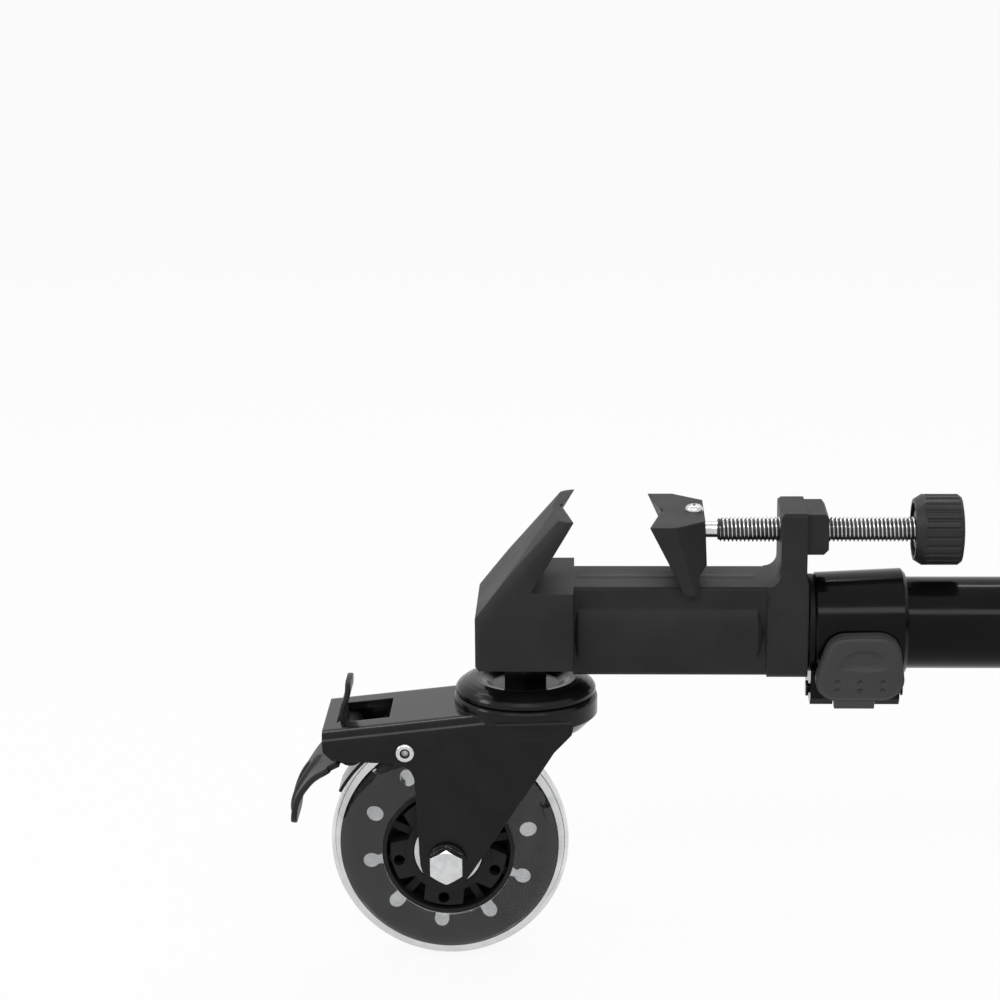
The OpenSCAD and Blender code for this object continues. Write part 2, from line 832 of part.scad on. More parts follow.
// Side view of the whole fork: arm, leg and the back of the crown
module fork_side_outline() {
    inner_r = 6.2;
    slope_turn = -33;
    polygon(concat(
        [[arm_x0 - 0.5, -20], [arm_x0 + 0.8, -36.6], [arm_x0 + 3.6, -39.3]],
        arc(-40.5, -46.4, inner_r, 92, 6, 6),
        arc(axle_x, axle_z, leg_end_r, 178, 360 + slope_turn, 12),
        [[3, -46.9], [9.2, -37.3], [14.6, -31.8], [15.4, -28], [crown_r + 1, -27], [crown_r + 1, -20]]));
}

// Rounded rectangle standing on its open side, for the arm's channel section
module channel_outline(half, top, bend_r) {
    translate([-half, -60])
        square([2 * half, 60 + top - bend_r]);
    translate([-half + bend_r, -60])
        square([2 * (half - bend_r), 60 + top]);
    for (side = [-1, 1])
        translate([side * (half - bend_r), top - bend_r])
            circle(r = bend_r);
}

// Height of the arm's top over a place along the leg
function arm_top(x) = arm_top_z0 + (x - arm_x0) * tan(arm_rise);

// Side view of the arm and of the walls as far as the bend
module arm_outline() {
    polygon([[2 * arm_x0, axle_z - 20], [bend_x, axle_z - 20], [bend_x, -30.6], [arm_x1, -30.6],
        [arm_x1, crown_top_z - 0.5], [2 * arm_x0, crown_top_z - 0.5]]);
}

// Turned cup of the crown, made smaller all round by an inset
module crown_cup(inset) {
    r = crown_r - inset;
    top = crown_top_z - inset;
    round_r = 1.8;
    lip = 0.41 * inset;
    rotate_extrude()
        polygon(concat([[0, crown_low_z - inset / 4], [crown_r - crown_slope - lip, crown_low_z - inset / 4],
            [r, crown_low_z + crown_slope + lip]], arc(r - round_r, top - round_r, round_r, 0, 90, 6), [[0, top]]));
}

// Room outside the walls: below the crown's shoulders only the walls' width is left
module crown_sides(inset) {
    side_y = fork_half + 0.1 - inset;
    bend_turn = atan2(bend_in, 16 - bend_x);
    for (side = [-1, 1])
        scale([1, side, 1])
            translate([bend_x, side_y, 0])
                rotate([0, 0, -bend_turn])
                    cross_prism(-5, 60)
                        polygon([[0, -28.2 - 0.3 * inset], [0.8, -27 - 0.3 * inset], [3.2, -25.6 - 0.3 * inset],
                            [30, -25.6 - 0.3 * inset], [30, -60], [0, -60]]);
}

// Crown: a cup over the lower race, pressed flat at its sides where the walls run down
module fork_crown() {
    difference() {
        crown_cup(0);
        crown_sides(0);
        difference() {
            crown_cup(fork_t);
            crown_sides(fork_t);
        }
        rod_z(stem_r + running_fit, -50, crown_top_z + cut);
    }
}

// Arm: one folded channel, its walls running down to the axle
module fork_arm() {
    arm_len = 70;
    intersection() {
        translate([arm_x0, 0, arm_top_z0])
            rotate([0, -arm_rise, 0])
                difference() {
                    cross_prism(-10, arm_len)
                        channel_outline(fork_half, 0, fold_r);
                    cross_prism(-20, arm_len + 10)
                        channel_outline(fork_inner, -fork_t, fold_r - fork_t);
                }
        side_prism(fork_w)
            intersection() {
                fork_side_outline();
                arm_outline();
            }
    }
}

// Rest of one wall, bent in towards the hub
module fork_side() {
    intersection() {
        side_prism(fork_w)
            fork_side_outline();
        translate([0, 0, axle_z - 2 * leg_end_r])
            linear_extrude(height = -29.4 - axle_z + 2 * leg_end_r)
                polygon([[bend_x - 2, fork_half - 0.5], [bend_x - 0.2, fork_half - 0.05],
                    [16, fork_half - bend_in], [16, fork_half - bend_in - fork_t],
                    [bend_x - 2, fork_inner + 0.5]]);
    }
}

module fork() {
    cup_open_r = 15.4;
    cup_open_x = -24;
    color(enamel_black)
        difference() {
            union() {
                fork_crown();
                fork_arm();
                for (side = [-1, 1])
                    scale([1, side, 1])
                        fork_side();
            }
            rod_z(cup_open_r, -29.2, crown_top_z - fork_t);
            box([cup_open_x, 0.8 - fork_inner, -50], [-8, fork_inner - 0.8, arm_top(cup_open_x) - fork_t]);
            ball_groove();
            box([slot_x0, -slot_half_w, -40], [slot_x1, slot_half_w, -20]);
            translate([axle_x, 0, axle_z])
                rod_y(axle_bolt_r + running_fit, -fork_w, fork_w);
            translate([rivet_x, 0, rivet_z])
                rod_y(rivet_r + seat, -fork_w, fork_w);
            translate([brake_x, 0, brake_z])
                rod_y(brake_pin_r + running_fit, -brake_pin_half - 0.15, brake_pin_half + 0.15);
        }
}

// Bolt, spacer sleeve and nut that carry the wheel
module axle() {
    washer_t = 1.6;
    head_t = 4;
    nut_t = 6;
    end_y = fork_half + washer_t;
    color(zinc_silver)
        translate([axle_x, 0, axle_z]) {
            rod_y(axle_bolt_r, -end_y - cut, end_y + nut_t + 1);
            rotate([90, 30, 0])
                hex_z(10, end_y, end_y + head_t);
            for (side = [-1, 1])
                scale([1, side, 1])
                    difference() {
                        rod_y(6.2, fork_half, end_y);
                        rod_y(axle_bolt_r + seat, fork_half - cut, end_y + cut);
                    }
            difference() {
                rotate([-90, 30, 0])
                    hex_z(10, end_y, end_y + nut_t);
                rod_y(axle_bolt_r + seat, end_y - cut, end_y + nut_t + cut);
            }
            difference() {
                union() {
                    rod_y(axle_sleeve_r, -fork_inner, fork_inner);
                    for (side = [-1, 1])
                        scale([1, side, 1])
                            rod_y(5.6, wheel_w / 2 + 0.15, fork_inner);
                }
                rod_y(axle_bolt_r + seat, -fork_inner - cut, fork_inner + cut);
            }
        }
}

// Spring leaf over the tyre, and the two hollow rivets that hold its side tabs
module brake_spring() {
    tab_y = fork_inner - 0.1;
    tab_t = 1;
    color(enamel_black) {
        difference() {
            union() {
                side_prism(7)
                    polygon(concat([[-34.5, -34.4], [-34.5, -33.4], [-43.2, -33.4], [-44, -33.8]],
                        arc(axle_x, axle_z, leaf_r + leaf_t, 128, 152),
                        arc(axle_x, axle_z, leaf_r, 152, 128),
                        [[-43.4, -34.4]]));
                box([-42, -tab_y, -34.4], [-34.5, tab_y, -33.4]);
                for (side = [-1, 1])
                    scale([1, side, 1])
                        translate([0, tab_y - tab_t / 2, 0])
                            side_prism(tab_t / 2)
                                polygon(concat([[-42, -33.4]], [[-42, -37.5], [-39.5, -41]],
                                    [[-35.5, -41], [-33.2, -38.5], [-33.2, -33.4]]));
            }
            translate([rivet_x, 0, rivet_z])
                rod_y(rivet_r + seat, -fork_w, fork_w);
        }
    }
    color(zinc_silver)
        translate([rivet_x, 0, rivet_z])
            for (side = [-1, 1])
                scale([1, side, 1])
                    difference() {
                        union() {
                            rod_y(rivet_r, tab_y - tab_t - 0.1, fork_half + cut);
                            turned_y()
                                polygon([[0, fork_half], [2.9, fork_half], [2.9, fork_half + 0.5],
                                    [2.3, fork_half + 1.2], [0, fork_half + 1.2]]);
                            rod_y(2.7, tab_y - tab_t - 0.8, tab_y - tab_t);
                        }
                        rod_y(1.1, fork_half - 1.5, fork_half + 2);
                    }
}

// Band of the pedal's arc between two radii and two angles
module pedal_band(r0, r1, a0, a1) {
    polygon(concat(arc(pedal_centre_x, pedal_centre_z, r1, a0, a1),
        arc(pedal_centre_x, pedal_centre_z, r0, a1, a0)));
}

// Foot plate: curved, turned down at its two edges, with a raised loop, narrowed to its tip
module pedal_plate(half_w) {
    a0 = 106;
    a1 = 165;
    edge_a0 = 122;
    edge_r = pedal_r - pedal_t / 2 - 1.4;
    loop_a0 = 137;
    loop_a1 = 159;
    loop_half = 4;
    loop_wire = 1.1;
    loop_r = pedal_r + pedal_t / 2 + 0.8;
    tip_z = pedal_centre_z + pedal_r * sin(a1);
    tip_half_w = 9.4;
    intersection() {
        union() {
            side_prism(half_w)
                pedal_band(pedal_r - pedal_t / 2, pedal_r + pedal_t / 2, a0, a1);
            for (side = [-1, 1])
                scale([1, side, 1])
                    translate([0, half_w - 0.7, 0])
                        side_prism(0.7)
                            pedal_band(edge_r, pedal_r, edge_a0, a1);
            difference() {
                side_prism(loop_half + loop_wire)
                    pedal_band(pedal_r, loop_r, loop_a0, loop_a1);
                side_prism(loop_half - loop_wire)
                    pedal_band(pedal_r - 1, loop_r + 1, loop_a0 - 2, loop_a1 - 5);
            }
        }
        cross_prism(3 * pedal_centre_x, 0)
            for (side = [-1, 1])
                polygon([[0, 0], [side * 2 * half_w, 0], [side * (half_w + 0.3), tip_z + 16.5],
                    [side * tip_half_w, tip_z + 3.4], [side * (tip_half_w - 1.3), tip_z + 1.2],
                    [side * (tip_half_w - 4), tip_z], [side * (tip_half_w - 4), tip_z - 10], [0, tip_z - 10]]);
    }
}

// Rocker: foot pedal, release tab and cam in one, and its pin
module brake_pedal() {
    half_w = 13;
    cam_x = -55.4;
    cam_z = -41.3;
    hub_half = 3.2;
    color(enamel_black)
        difference() {
            union() {
                translate([brake_x, 0, brake_z])
                    rod_y(hub_half + 0.1, -half_w, half_w);
                translate([cam_x, 0, cam_z])
                    rod_y(cam_r, -7, 7);
                side_prism(7)
                    polygon([[brake_x - hub_half, brake_z], [brake_x + hub_half, brake_z],
                        [cam_x + cam_r - 0.2, cam_z], [cam_x - cam_r + 0.1, cam_z]]);
                side_prism(7.3)
                    polygon([[brake_x - 2.2, brake_z], [brake_x, brake_z + 1], [-56.7, -27.5], [-54.3, -19.6],
                        [-53.9, -17.2], [-54.7, -16.5], [-55.8, -17.1], [-56.6, -19.8], [-58.7, -27.2],
                        [-58.5, -34]]);
                pedal_plate(half_w);
                for (side = [-1, 1])
                    scale([1, side, 1])
                        translate([0, half_w - 0.7, 0])
                            side_prism(0.7)
                                polygon([[brake_x - hub_half, brake_z], [brake_x + hub_half, brake_z],
                                    [brake_x + 1.8, brake_z - 6], [brake_x - 6.2, brake_z - 9.4],
                                    [brake_x - 7.2, brake_z - 7.6]]);
            }
            translate([brake_x, 0, brake_z])
                rod_y(brake_pin_r + seat, -half_w - cut, half_w + cut);
        }
    color(zinc_silver)
        translate([brake_x, 0, brake_z])
            rod_y(brake_pin_r, -brake_pin_half, brake_pin_half);
}

// Wheel

module tyre() {
    w = wheel_w / 2;
    r = wheel_r;
    color(smoke_clear)
        translate([axle_x, 0, axle_z])
            turned_y()
                difference() {
                    polygon(concat([[core_ring_r, -w + 0.6], [core_ring_r + 1.5, -w], [r - 9, -w + 0.4]],
                        arc(r - 12, 0, 12, -64, 64, 16),
                        [[r - 9, w - 0.4], [core_ring_r + 1.5, w], [core_ring_r, w - 0.6]]));
                    translate([0, -core_disc_half - seat])
                        square([core_rim_r + seat, 2 * (core_disc_half + seat)]);
                }
}

module wheel_core() {
    w = wheel_w / 2;
    pitch = 360 / spoke_count;
    spoke_turn = 24;
    pad_w = 12.4;
    pad_r = 18.4;
    window_r = 2.4;
    window_ring_r = 25.4;
    color(plastic_black)
        translate([axle_x, 0, axle_z])
            difference() {
                union() {
                    rod_y(core_hub_r, -w, w);
                    difference() {
                        rod_y(core_ring_r - seat, -w + 0.8, w - 0.8);
                        rod_y(core_ring_inner_r, -w, w);
                    }
                    difference() {
                        rod_y(core_rim_r, -core_disc_half, core_disc_half);
                        rod_y(core_ring_inner_r, -w, w);
                    }
                    difference() {
                        rod_y(core_ring_inner_r + cut, -2, 2);
                        rod_y(core_hub_r - cut, -w, w);
                    }
                    for (i = [0:2:spoke_count - 1])
                        rotate([0, spoke_turn + i * pitch, 0])
                            intersection() {
                                box([core_hub_r - 1.5, -w + 1.4, -pad_w / 2], [pad_r + 2, w - 1.4, pad_w / 2]);
                                rod_y(pad_r, -w, w);
                            }
                    for (i = [0:spoke_count - 1])
                        rotate([0, spoke_turn + i * pitch, 0])
                            box([core_hub_r - 1, -w + 4.5, -1.3], [core_ring_inner_r + 1, w - 4.5, 1.3]);
                }
                rod_y(bearing_r + seat, -w - cut, w + cut);
                for (i = [0:spoke_count - 1])
                    rotate([0, spoke_turn + i * pitch, 0]) {
                        translate([window_ring_r, 0, 0])
                            rod_y(window_r, -w, w);
                        if (i % 2 == 0)
                            for (side = [-1, 1])
                                scale([1, side, 1])
                                    translate([(core_hub_r + pad_r) / 2 + 0.2, 0, 0])
                                        rod_y(1.8, 3.5, w);
                    }
            }
    color(plastic_black)
        translate([axle_x, 0, axle_z])
            difference() {
                rod_y(bearing_r, -w + bearing_w, w - bearing_w);
                rod_y(bearing_r - 2, -w, w);
            }
}

// One ball bearing: turned outline with the shield's step between its rings
module bearing() {
    bore_r = axle_sleeve_r + running_fit;
    turned_y()
        polygon([[bore_r, 0], [5.6, 0], [5.6, 0.5], [9.2, 0.5], [9.2, 0], [bearing_r - 0.3, 0],
            [bearing_r, 0.3], [bearing_r, bearing_w], [bore_r, bearing_w]]);
}

module bearings() {
    color(zinc_silver)
        translate([axle_x, 0, axle_z])
            for (side = [-1, 1])
                scale([1, side, 1])
                    translate([0, -wheel_w / 2, 0])
                        bearing();
}

hub_base();
hub_top_plate();
hub_bolts();
for (leg = LEGS) {
    on_leg(leg) leg_tube(leg);
    on_leg(leg) leg_plug(leg);
    on_leg(leg) lock_collar();
    on_leg(leg) lock_lever();
    on_leg(leg) inner_tube();
    on_leg(leg) clamp_body();
    on_leg(leg) swivel_bolt();
    on_leg(leg) swivel_race();
    on_leg(leg) swivel_balls();
    on_leg(leg) sliding_jaw();
    on_leg(leg) clamp_screw();
    on_leg(leg) clamp_knob();
    on_leg(leg) fork();
    on_leg(leg) axle();
    on_leg(leg) brake_spring();
    on_leg(leg) brake_pedal();
    on_leg(leg) tyre();
    on_leg(leg) wheel_core();
    on_leg(leg) bearings();
}
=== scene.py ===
"""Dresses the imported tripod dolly: a finish for every CAD part, finer pieces for some, and a studio.

Each leg gets a rolled clamp screw, a clear tyre, a lever pad, an axle set, a jaw screw, tube rivets, a foot
pedal and a collar sleeve. Lengths in their classes are millimetres in the leg's own frame: x runs from the
swivel axis (0) towards the hub, y across the leg, z up from the leg's axis. leg_matrix() goes from there to
the dolly's frame.
"""
import logging
import math
from dataclasses import dataclass
from enum import Enum
from typing import Callable, ClassVar, Sequence

import bmesh
import bpy
from mathutils import Matrix, Vector


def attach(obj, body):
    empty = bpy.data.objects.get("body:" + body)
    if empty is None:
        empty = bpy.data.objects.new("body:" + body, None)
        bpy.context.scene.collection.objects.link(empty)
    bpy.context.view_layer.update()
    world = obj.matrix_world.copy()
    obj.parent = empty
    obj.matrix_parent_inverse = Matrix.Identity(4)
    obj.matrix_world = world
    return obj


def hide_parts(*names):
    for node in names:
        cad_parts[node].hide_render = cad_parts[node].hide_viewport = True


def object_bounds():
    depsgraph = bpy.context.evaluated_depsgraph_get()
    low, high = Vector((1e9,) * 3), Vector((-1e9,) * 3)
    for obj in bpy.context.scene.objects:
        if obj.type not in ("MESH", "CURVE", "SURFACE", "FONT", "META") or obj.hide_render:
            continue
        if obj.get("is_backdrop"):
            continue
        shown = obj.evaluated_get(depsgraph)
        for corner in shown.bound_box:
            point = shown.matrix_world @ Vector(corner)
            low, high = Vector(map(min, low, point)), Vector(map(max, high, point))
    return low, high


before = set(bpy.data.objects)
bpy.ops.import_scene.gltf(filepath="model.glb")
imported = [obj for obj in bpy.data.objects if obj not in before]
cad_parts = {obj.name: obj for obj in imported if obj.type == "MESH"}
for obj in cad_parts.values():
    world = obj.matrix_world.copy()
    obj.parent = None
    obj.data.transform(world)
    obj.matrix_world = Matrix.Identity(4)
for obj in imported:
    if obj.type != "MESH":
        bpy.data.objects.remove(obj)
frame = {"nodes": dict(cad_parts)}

LOG = logging.getLogger("dolly")
MM = 0.001
WHITE = (1, 1, 1, 1)
# Place of the swivel axes from the hub's and height of the legs' axes, in millimetres, and turns in degrees
SPREAD_RADIUS = 420.0
LEG_AXIS_Z = -19.6
LEG_TURNS = {1: 0.0, 2: 120.0, 3: -120.0}
# Metres: points within WELD become one, and faces thinner than SLIVER are taken out
WELD = 1e-6
SLIVER = 1e-7

Point = tuple[float, float, float]
Flat = tuple[float, float]
Socket = bpy.types.NodeSocket
Inputs = dict[str | int, object]


class Slot(Enum):
    """Material slots of the record, by the finish that they carry."""

    CASTING = "satin_casting"
    ENAMEL = "gloss_enamel"
    PLASTIC = "moulded_plastic"
    ZINC = "zinc_plate"
    STEEL = "bearing_steel"
    URETHANE = "clear_urethane"
    NYLON = "core_nylon"


class Detail(Enum):
    """Finishes of single parts that differ from their slot's."""

    TUBE = "tube_lacquer"
    GRIP = "grip_plastic"
    # Painted shade: a dark finish laid on thread roots and in the jaw screw's cross recess, where shade falls
    RECESS = "painted_recess_shade"
    PEDAL = "satin_pedal"
    SLEEVE = "sleeve_plastic"
    WINDOW = "clear_window"


class Layers(Enum):
    """How many finer layers a noise has."""

    SMOOTH = 1.0
    PLAIN = 3.0
    FINE = 4.0


class Axis(Enum):
    """Axis that a turned shape stands on."""

    X = "x"
    Y = "y"


# Finishes


class NodeTree:
    """A node tree, emptied, with short ways to add and join nodes."""

    def __init__(self, tree: bpy.types.NodeTree) -> None:
        """Take over a tree and empty it."""
        self.tree = tree
        self.tree.nodes.clear()

    def feed(self, node: bpy.types.Node, inputs: Inputs) -> bpy.types.Node:
        """Set or link a node's inputs.

        Args:
            node: The node to feed.
            inputs: A number, colour or output socket for each input's name or number.

        Returns:
            The same node.
        """
        for key, value in inputs.items():
            if isinstance(value, Socket):
                self.tree.links.new(value, node.inputs[key])
            else:
                node.inputs[key].default_value = value
        return node

    def add(self, kind: str, inputs: Inputs | None = None, **settings: object) -> bpy.types.Node:
        """Add a node, set its properties and feed its inputs.

        Args:
            kind: Blender's node type.
            inputs: What its inputs are fed with.
            settings: Its properties by name.

        Returns:
            The new node.
        """
        node = self.tree.nodes.new(kind)
        for key, value in settings.items():
            setattr(node, key, value)
        return self.feed(node, inputs or {})

    def maths(self, operation: str, first: Socket, second: Socket | float, clamp: bool = False) -> Socket:
        """Work out two values by a maths node, and hold the result between 0 and 1 if asked to."""
        node = self.add("ShaderNodeMath", {0: first, 1: second}, operation=operation, use_clamp=clamp)
        return node.outputs[0]

    def background_mask(self) -> Socket:
        """Mask of the rays that show the plain background: camera, glossy and transmission rays.

        Returns:
            The mask, 0 or 1.
        """
        rays = self.add("ShaderNodeLightPath").outputs
        seen = self.maths("ADD", rays["Is Camera Ray"], rays["Is Glossy Ray"])
        return self.maths("ADD", seen, rays["Is Transmission Ray"], clamp=True)

    def cover(self, mask: Socket, under: Socket, over: Socket) -> Socket:
        """Lay one shader over another where a mask is 1."""
        return self.add("ShaderNodeMixShader", {0: mask, 1: under, 2: over}).outputs[0]


class Recipe(NodeTree):
    """A material's node tree, with the patterns that finishes are made of."""

    noise_roughness: float = 0.55
    bevel_samples: int = 6
    cloud_range: Flat = (0.35, 0.65)
    edge_range: Flat = (0.72, 0.97)
    # Numbers of the Mix node's sockets: its amount and two colours, and the mixed colour
    blend_inputs: tuple[int, int, int] = (0, 6, 7)
    blend_output: int = 2

    def __init__(self, name: str) -> None:
        """Start a material with a principled shader.

        Args:
            name: Name of the material.
        """
        self.material = bpy.data.materials.new(name)
        self.material.use_nodes = True
        super().__init__(self.material.node_tree)
        self.shader = self.add("ShaderNodeBsdfPrincipled")
        self.output = self.add("ShaderNodeOutputMaterial", {"Surface": self.shader.outputs["BSDF"]})
        self.place = self.add("ShaderNodeTexCoord").outputs["Object"]

    def noise(self, size_mm: float, layers: Layers = Layers.PLAIN) -> Socket:
        """Noise whose features are about the given size.

        Args:
            size_mm: Size of one feature.
            layers: Its finer layers.

        Returns:
            The noise value.
        """
        return self.add("ShaderNodeTexNoise", {
            "Vector": self.place, "Scale": 1.0 / (size_mm * MM), "Detail": layers.value,
            "Roughness": self.noise_roughness}).outputs["Fac"]

    def levels(self, value: Socket, result: Flat, source: Flat = (0.0, 1.0)) -> Socket:
        """Stretch a value from one range to another, and hold it there.

        Args:
            value: The value.
            result: What becomes of the source range's lower and upper end.
            source: The range that is stretched.

        Returns:
            The stretched value.
        """
        return self.add("ShaderNodeMapRange", {
            "Value": value, "From Min": source[0], "From Max": source[1],
            "To Min": result[0], "To Max": result[1]}, clamp=True).outputs["Result"]

    def blend(self, amount: Socket, low: Point | Socket, high: Point) -> Socket:
        """Mix two colours.

        Args:
            amount: 0 for the first colour, 1 for the second.
            low: First colour, or the socket that it comes from.
            high: Second colour.

        Returns:
            The colour.
        """
        first = low if isinstance(low, Socket) else (*low, 1.0)
        inputs = dict(zip(self.blend_inputs, (amount, first, (*high, 1.0))))
        return self.add("ShaderNodeMix", inputs, data_type="RGBA").outputs[self.blend_output]

    def tint(self, cloud: Socket, dark: Point, light: Point) -> Socket:
        """Mix two colours by a cloud, whose middle range is stretched to the full one."""
        return self.blend(self.levels(cloud, (0.0, 1.0), self.cloud_range), dark, light)

    def gloss(self, first: Socket, second: Socket, rough: Flat, source: Flat) -> Socket:
        """Roughness that follows the sum of two noises, stretched from the source range."""
        return self.levels(self.maths("ADD", first, second), rough, source)

    def rounded(self, radius_mm: float) -> Socket:
        """Normal of the surface with its corners rounded off."""
        bevel = self.add("ShaderNodeBevel", {"Radius": radius_mm * MM}, samples=self.bevel_samples)
        return bevel.outputs["Normal"]

    def edges(self, radius_mm: float) -> Socket:
        """Mask that is 1 along corners, where a finish wears first.

        Args:
            radius_mm: Width of the worn line.

        Returns:
            The mask.
        """
        flat = self.add("ShaderNodeNewGeometry").outputs["Normal"]
        likeness = self.add("ShaderNodeVectorMath", {0: self.rounded(radius_mm), 1: flat},
                            operation="DOT_PRODUCT").outputs["Value"]
        return self.levels(likeness, (1.0, 0.0), self.edge_range)

    def relief(self, height: Socket, depth_mm: float, normal: Socket | None = None) -> Socket:
        """Bump from a height.

        Args:
            height: The height, 0 to 1.
            depth_mm: Depth of the full height.
            normal: Normal to bump, or None for the surface's own.

        Returns:
            The bumped normal.
        """
        inputs = {"Height": height, "Distance": depth_mm * MM, "Strength": 1.0}
        if normal is not None:
            inputs["Normal"] = normal
        return self.add("ShaderNodeBump", inputs).outputs["Normal"]


@dataclass(frozen=True)
class BlackCoat:
    """A black coated or moulded finish: casting, enamel, lacquer, plastic or nylon.

    Roughness is given as its lowest and highest value. The grain is the coat's own texture and the swell the
    slow waviness under it, each as its size and depth in millimetres. The corner is how far edges are rounded
    off, and scuffs break up the worn line along them.
    """

    cloud_per_swell: ClassVar[float] = 3.0
    scuff_per_grain: ClassVar[float] = 5.0
    scuff_levels: ClassVar[Flat] = (0.15, 1.0)
    scuff_range: ClassVar[Flat] = (0.4, 0.62)
    wear_per_corner: ClassVar[float] = 0.6
    rough_range: ClassVar[Flat] = (0.8, 1.2)
    coat_roughness: ClassVar[float] = 0.05

    dark: Point
    light: Point
    worn: Point
    rough: Flat
    grain: Flat
    swell: Flat
    corner: float
    specular: float
    coat: float = 0.0

    def make(self, name: str) -> bpy.types.Material:
        """Build the material.

        Args:
            name: Name of the material.

        Returns:
            The material.
        """
        recipe = Recipe(name)
        grain_size, grain_depth = self.grain
        swell_size, swell_depth = self.swell
        cloud = recipe.noise(swell_size * self.cloud_per_swell)
        grain = recipe.noise(grain_size, Layers.FINE)
        swell = recipe.noise(swell_size, Layers.SMOOTH)
        scuff = recipe.noise(grain_size * self.scuff_per_grain, Layers.FINE)
        wear = recipe.maths("MULTIPLY", recipe.edges(self.corner * self.wear_per_corner),
                            recipe.levels(scuff, self.scuff_levels, self.scuff_range))
        wavy = recipe.relief(swell, swell_depth, recipe.rounded(self.corner))
        recipe.feed(recipe.shader, {
            "Base Color": recipe.blend(wear, recipe.tint(cloud, self.dark, self.light), self.worn),
            "Roughness": recipe.gloss(cloud, grain, self.rough, self.rough_range),
            "Normal": recipe.relief(grain, grain_depth, wavy),
            "Specular IOR Level": self.specular,
            "Coat Weight": self.coat, "Coat Roughness": self.coat_roughness})
        return recipe.material


@dataclass(frozen=True)
class BareMetal:
    """Plated or ground steel, faintly stained, with fine marks. Depth and corner are in millimetres."""

    stain_size: ClassVar[float] = 2.4
    mark_size: ClassVar[float] = 0.35
    rough_range: ClassVar[Flat] = (0.8, 1.25)

    dark: Point
    light: Point
    rough: Flat
    mark_depth: float
    corner: float

    def make(self, name: str) -> bpy.types.Material:
        """Build the material.

        Args:
            name: Name of the material.

        Returns:
            The material.
        """
        recipe = Recipe(name)
        stain = recipe.noise(self.stain_size)
        marks = recipe.noise(self.mark_size)
        recipe.feed(recipe.shader, {
            "Base Color": recipe.tint(stain, self.dark, self.light),
            "Roughness": recipe.gloss(stain, marks, self.rough, self.rough_range),
            "Normal": recipe.relief(marks, self.mark_depth, recipe.rounded(self.corner)), "Metallic": 1.0})
        return recipe.material


@dataclass(frozen=True)
class ClearUrethane:
    """Cast urethane: clear, with a trace of smoke, slightly wavy and uneven in its gloss."""

    cloud_size: ClassVar[float] = 9.0
    cloud_depth: ClassVar[float] = 0.004
    film_size: ClassVar[float] = 0.7
    rough: ClassVar[Flat] = (0.0, 0.01)
    rough_range: ClassVar[Flat] = (0.8, 1.3)
    ior: ClassVar[float] = 1.4

    clear: Point
    smoke: Point

    def make(self, name: str) -> bpy.types.Material:
        """Build the material.

        Args:
            name: Name of the material.

        Returns:
            The material.
        """
        recipe = Recipe(name)
        cloud = recipe.noise(self.cloud_size)
        film = recipe.noise(self.film_size, Layers.FINE)
        recipe.feed(recipe.shader, {
            "Base Color": recipe.tint(cloud, self.clear, self.smoke),
            "Roughness": recipe.gloss(cloud, film, self.rough, self.rough_range),
            "Normal": recipe.relief(cloud, self.cloud_depth), "Transmission Weight": 1.0, "IOR": self.ior})
        return recipe.material


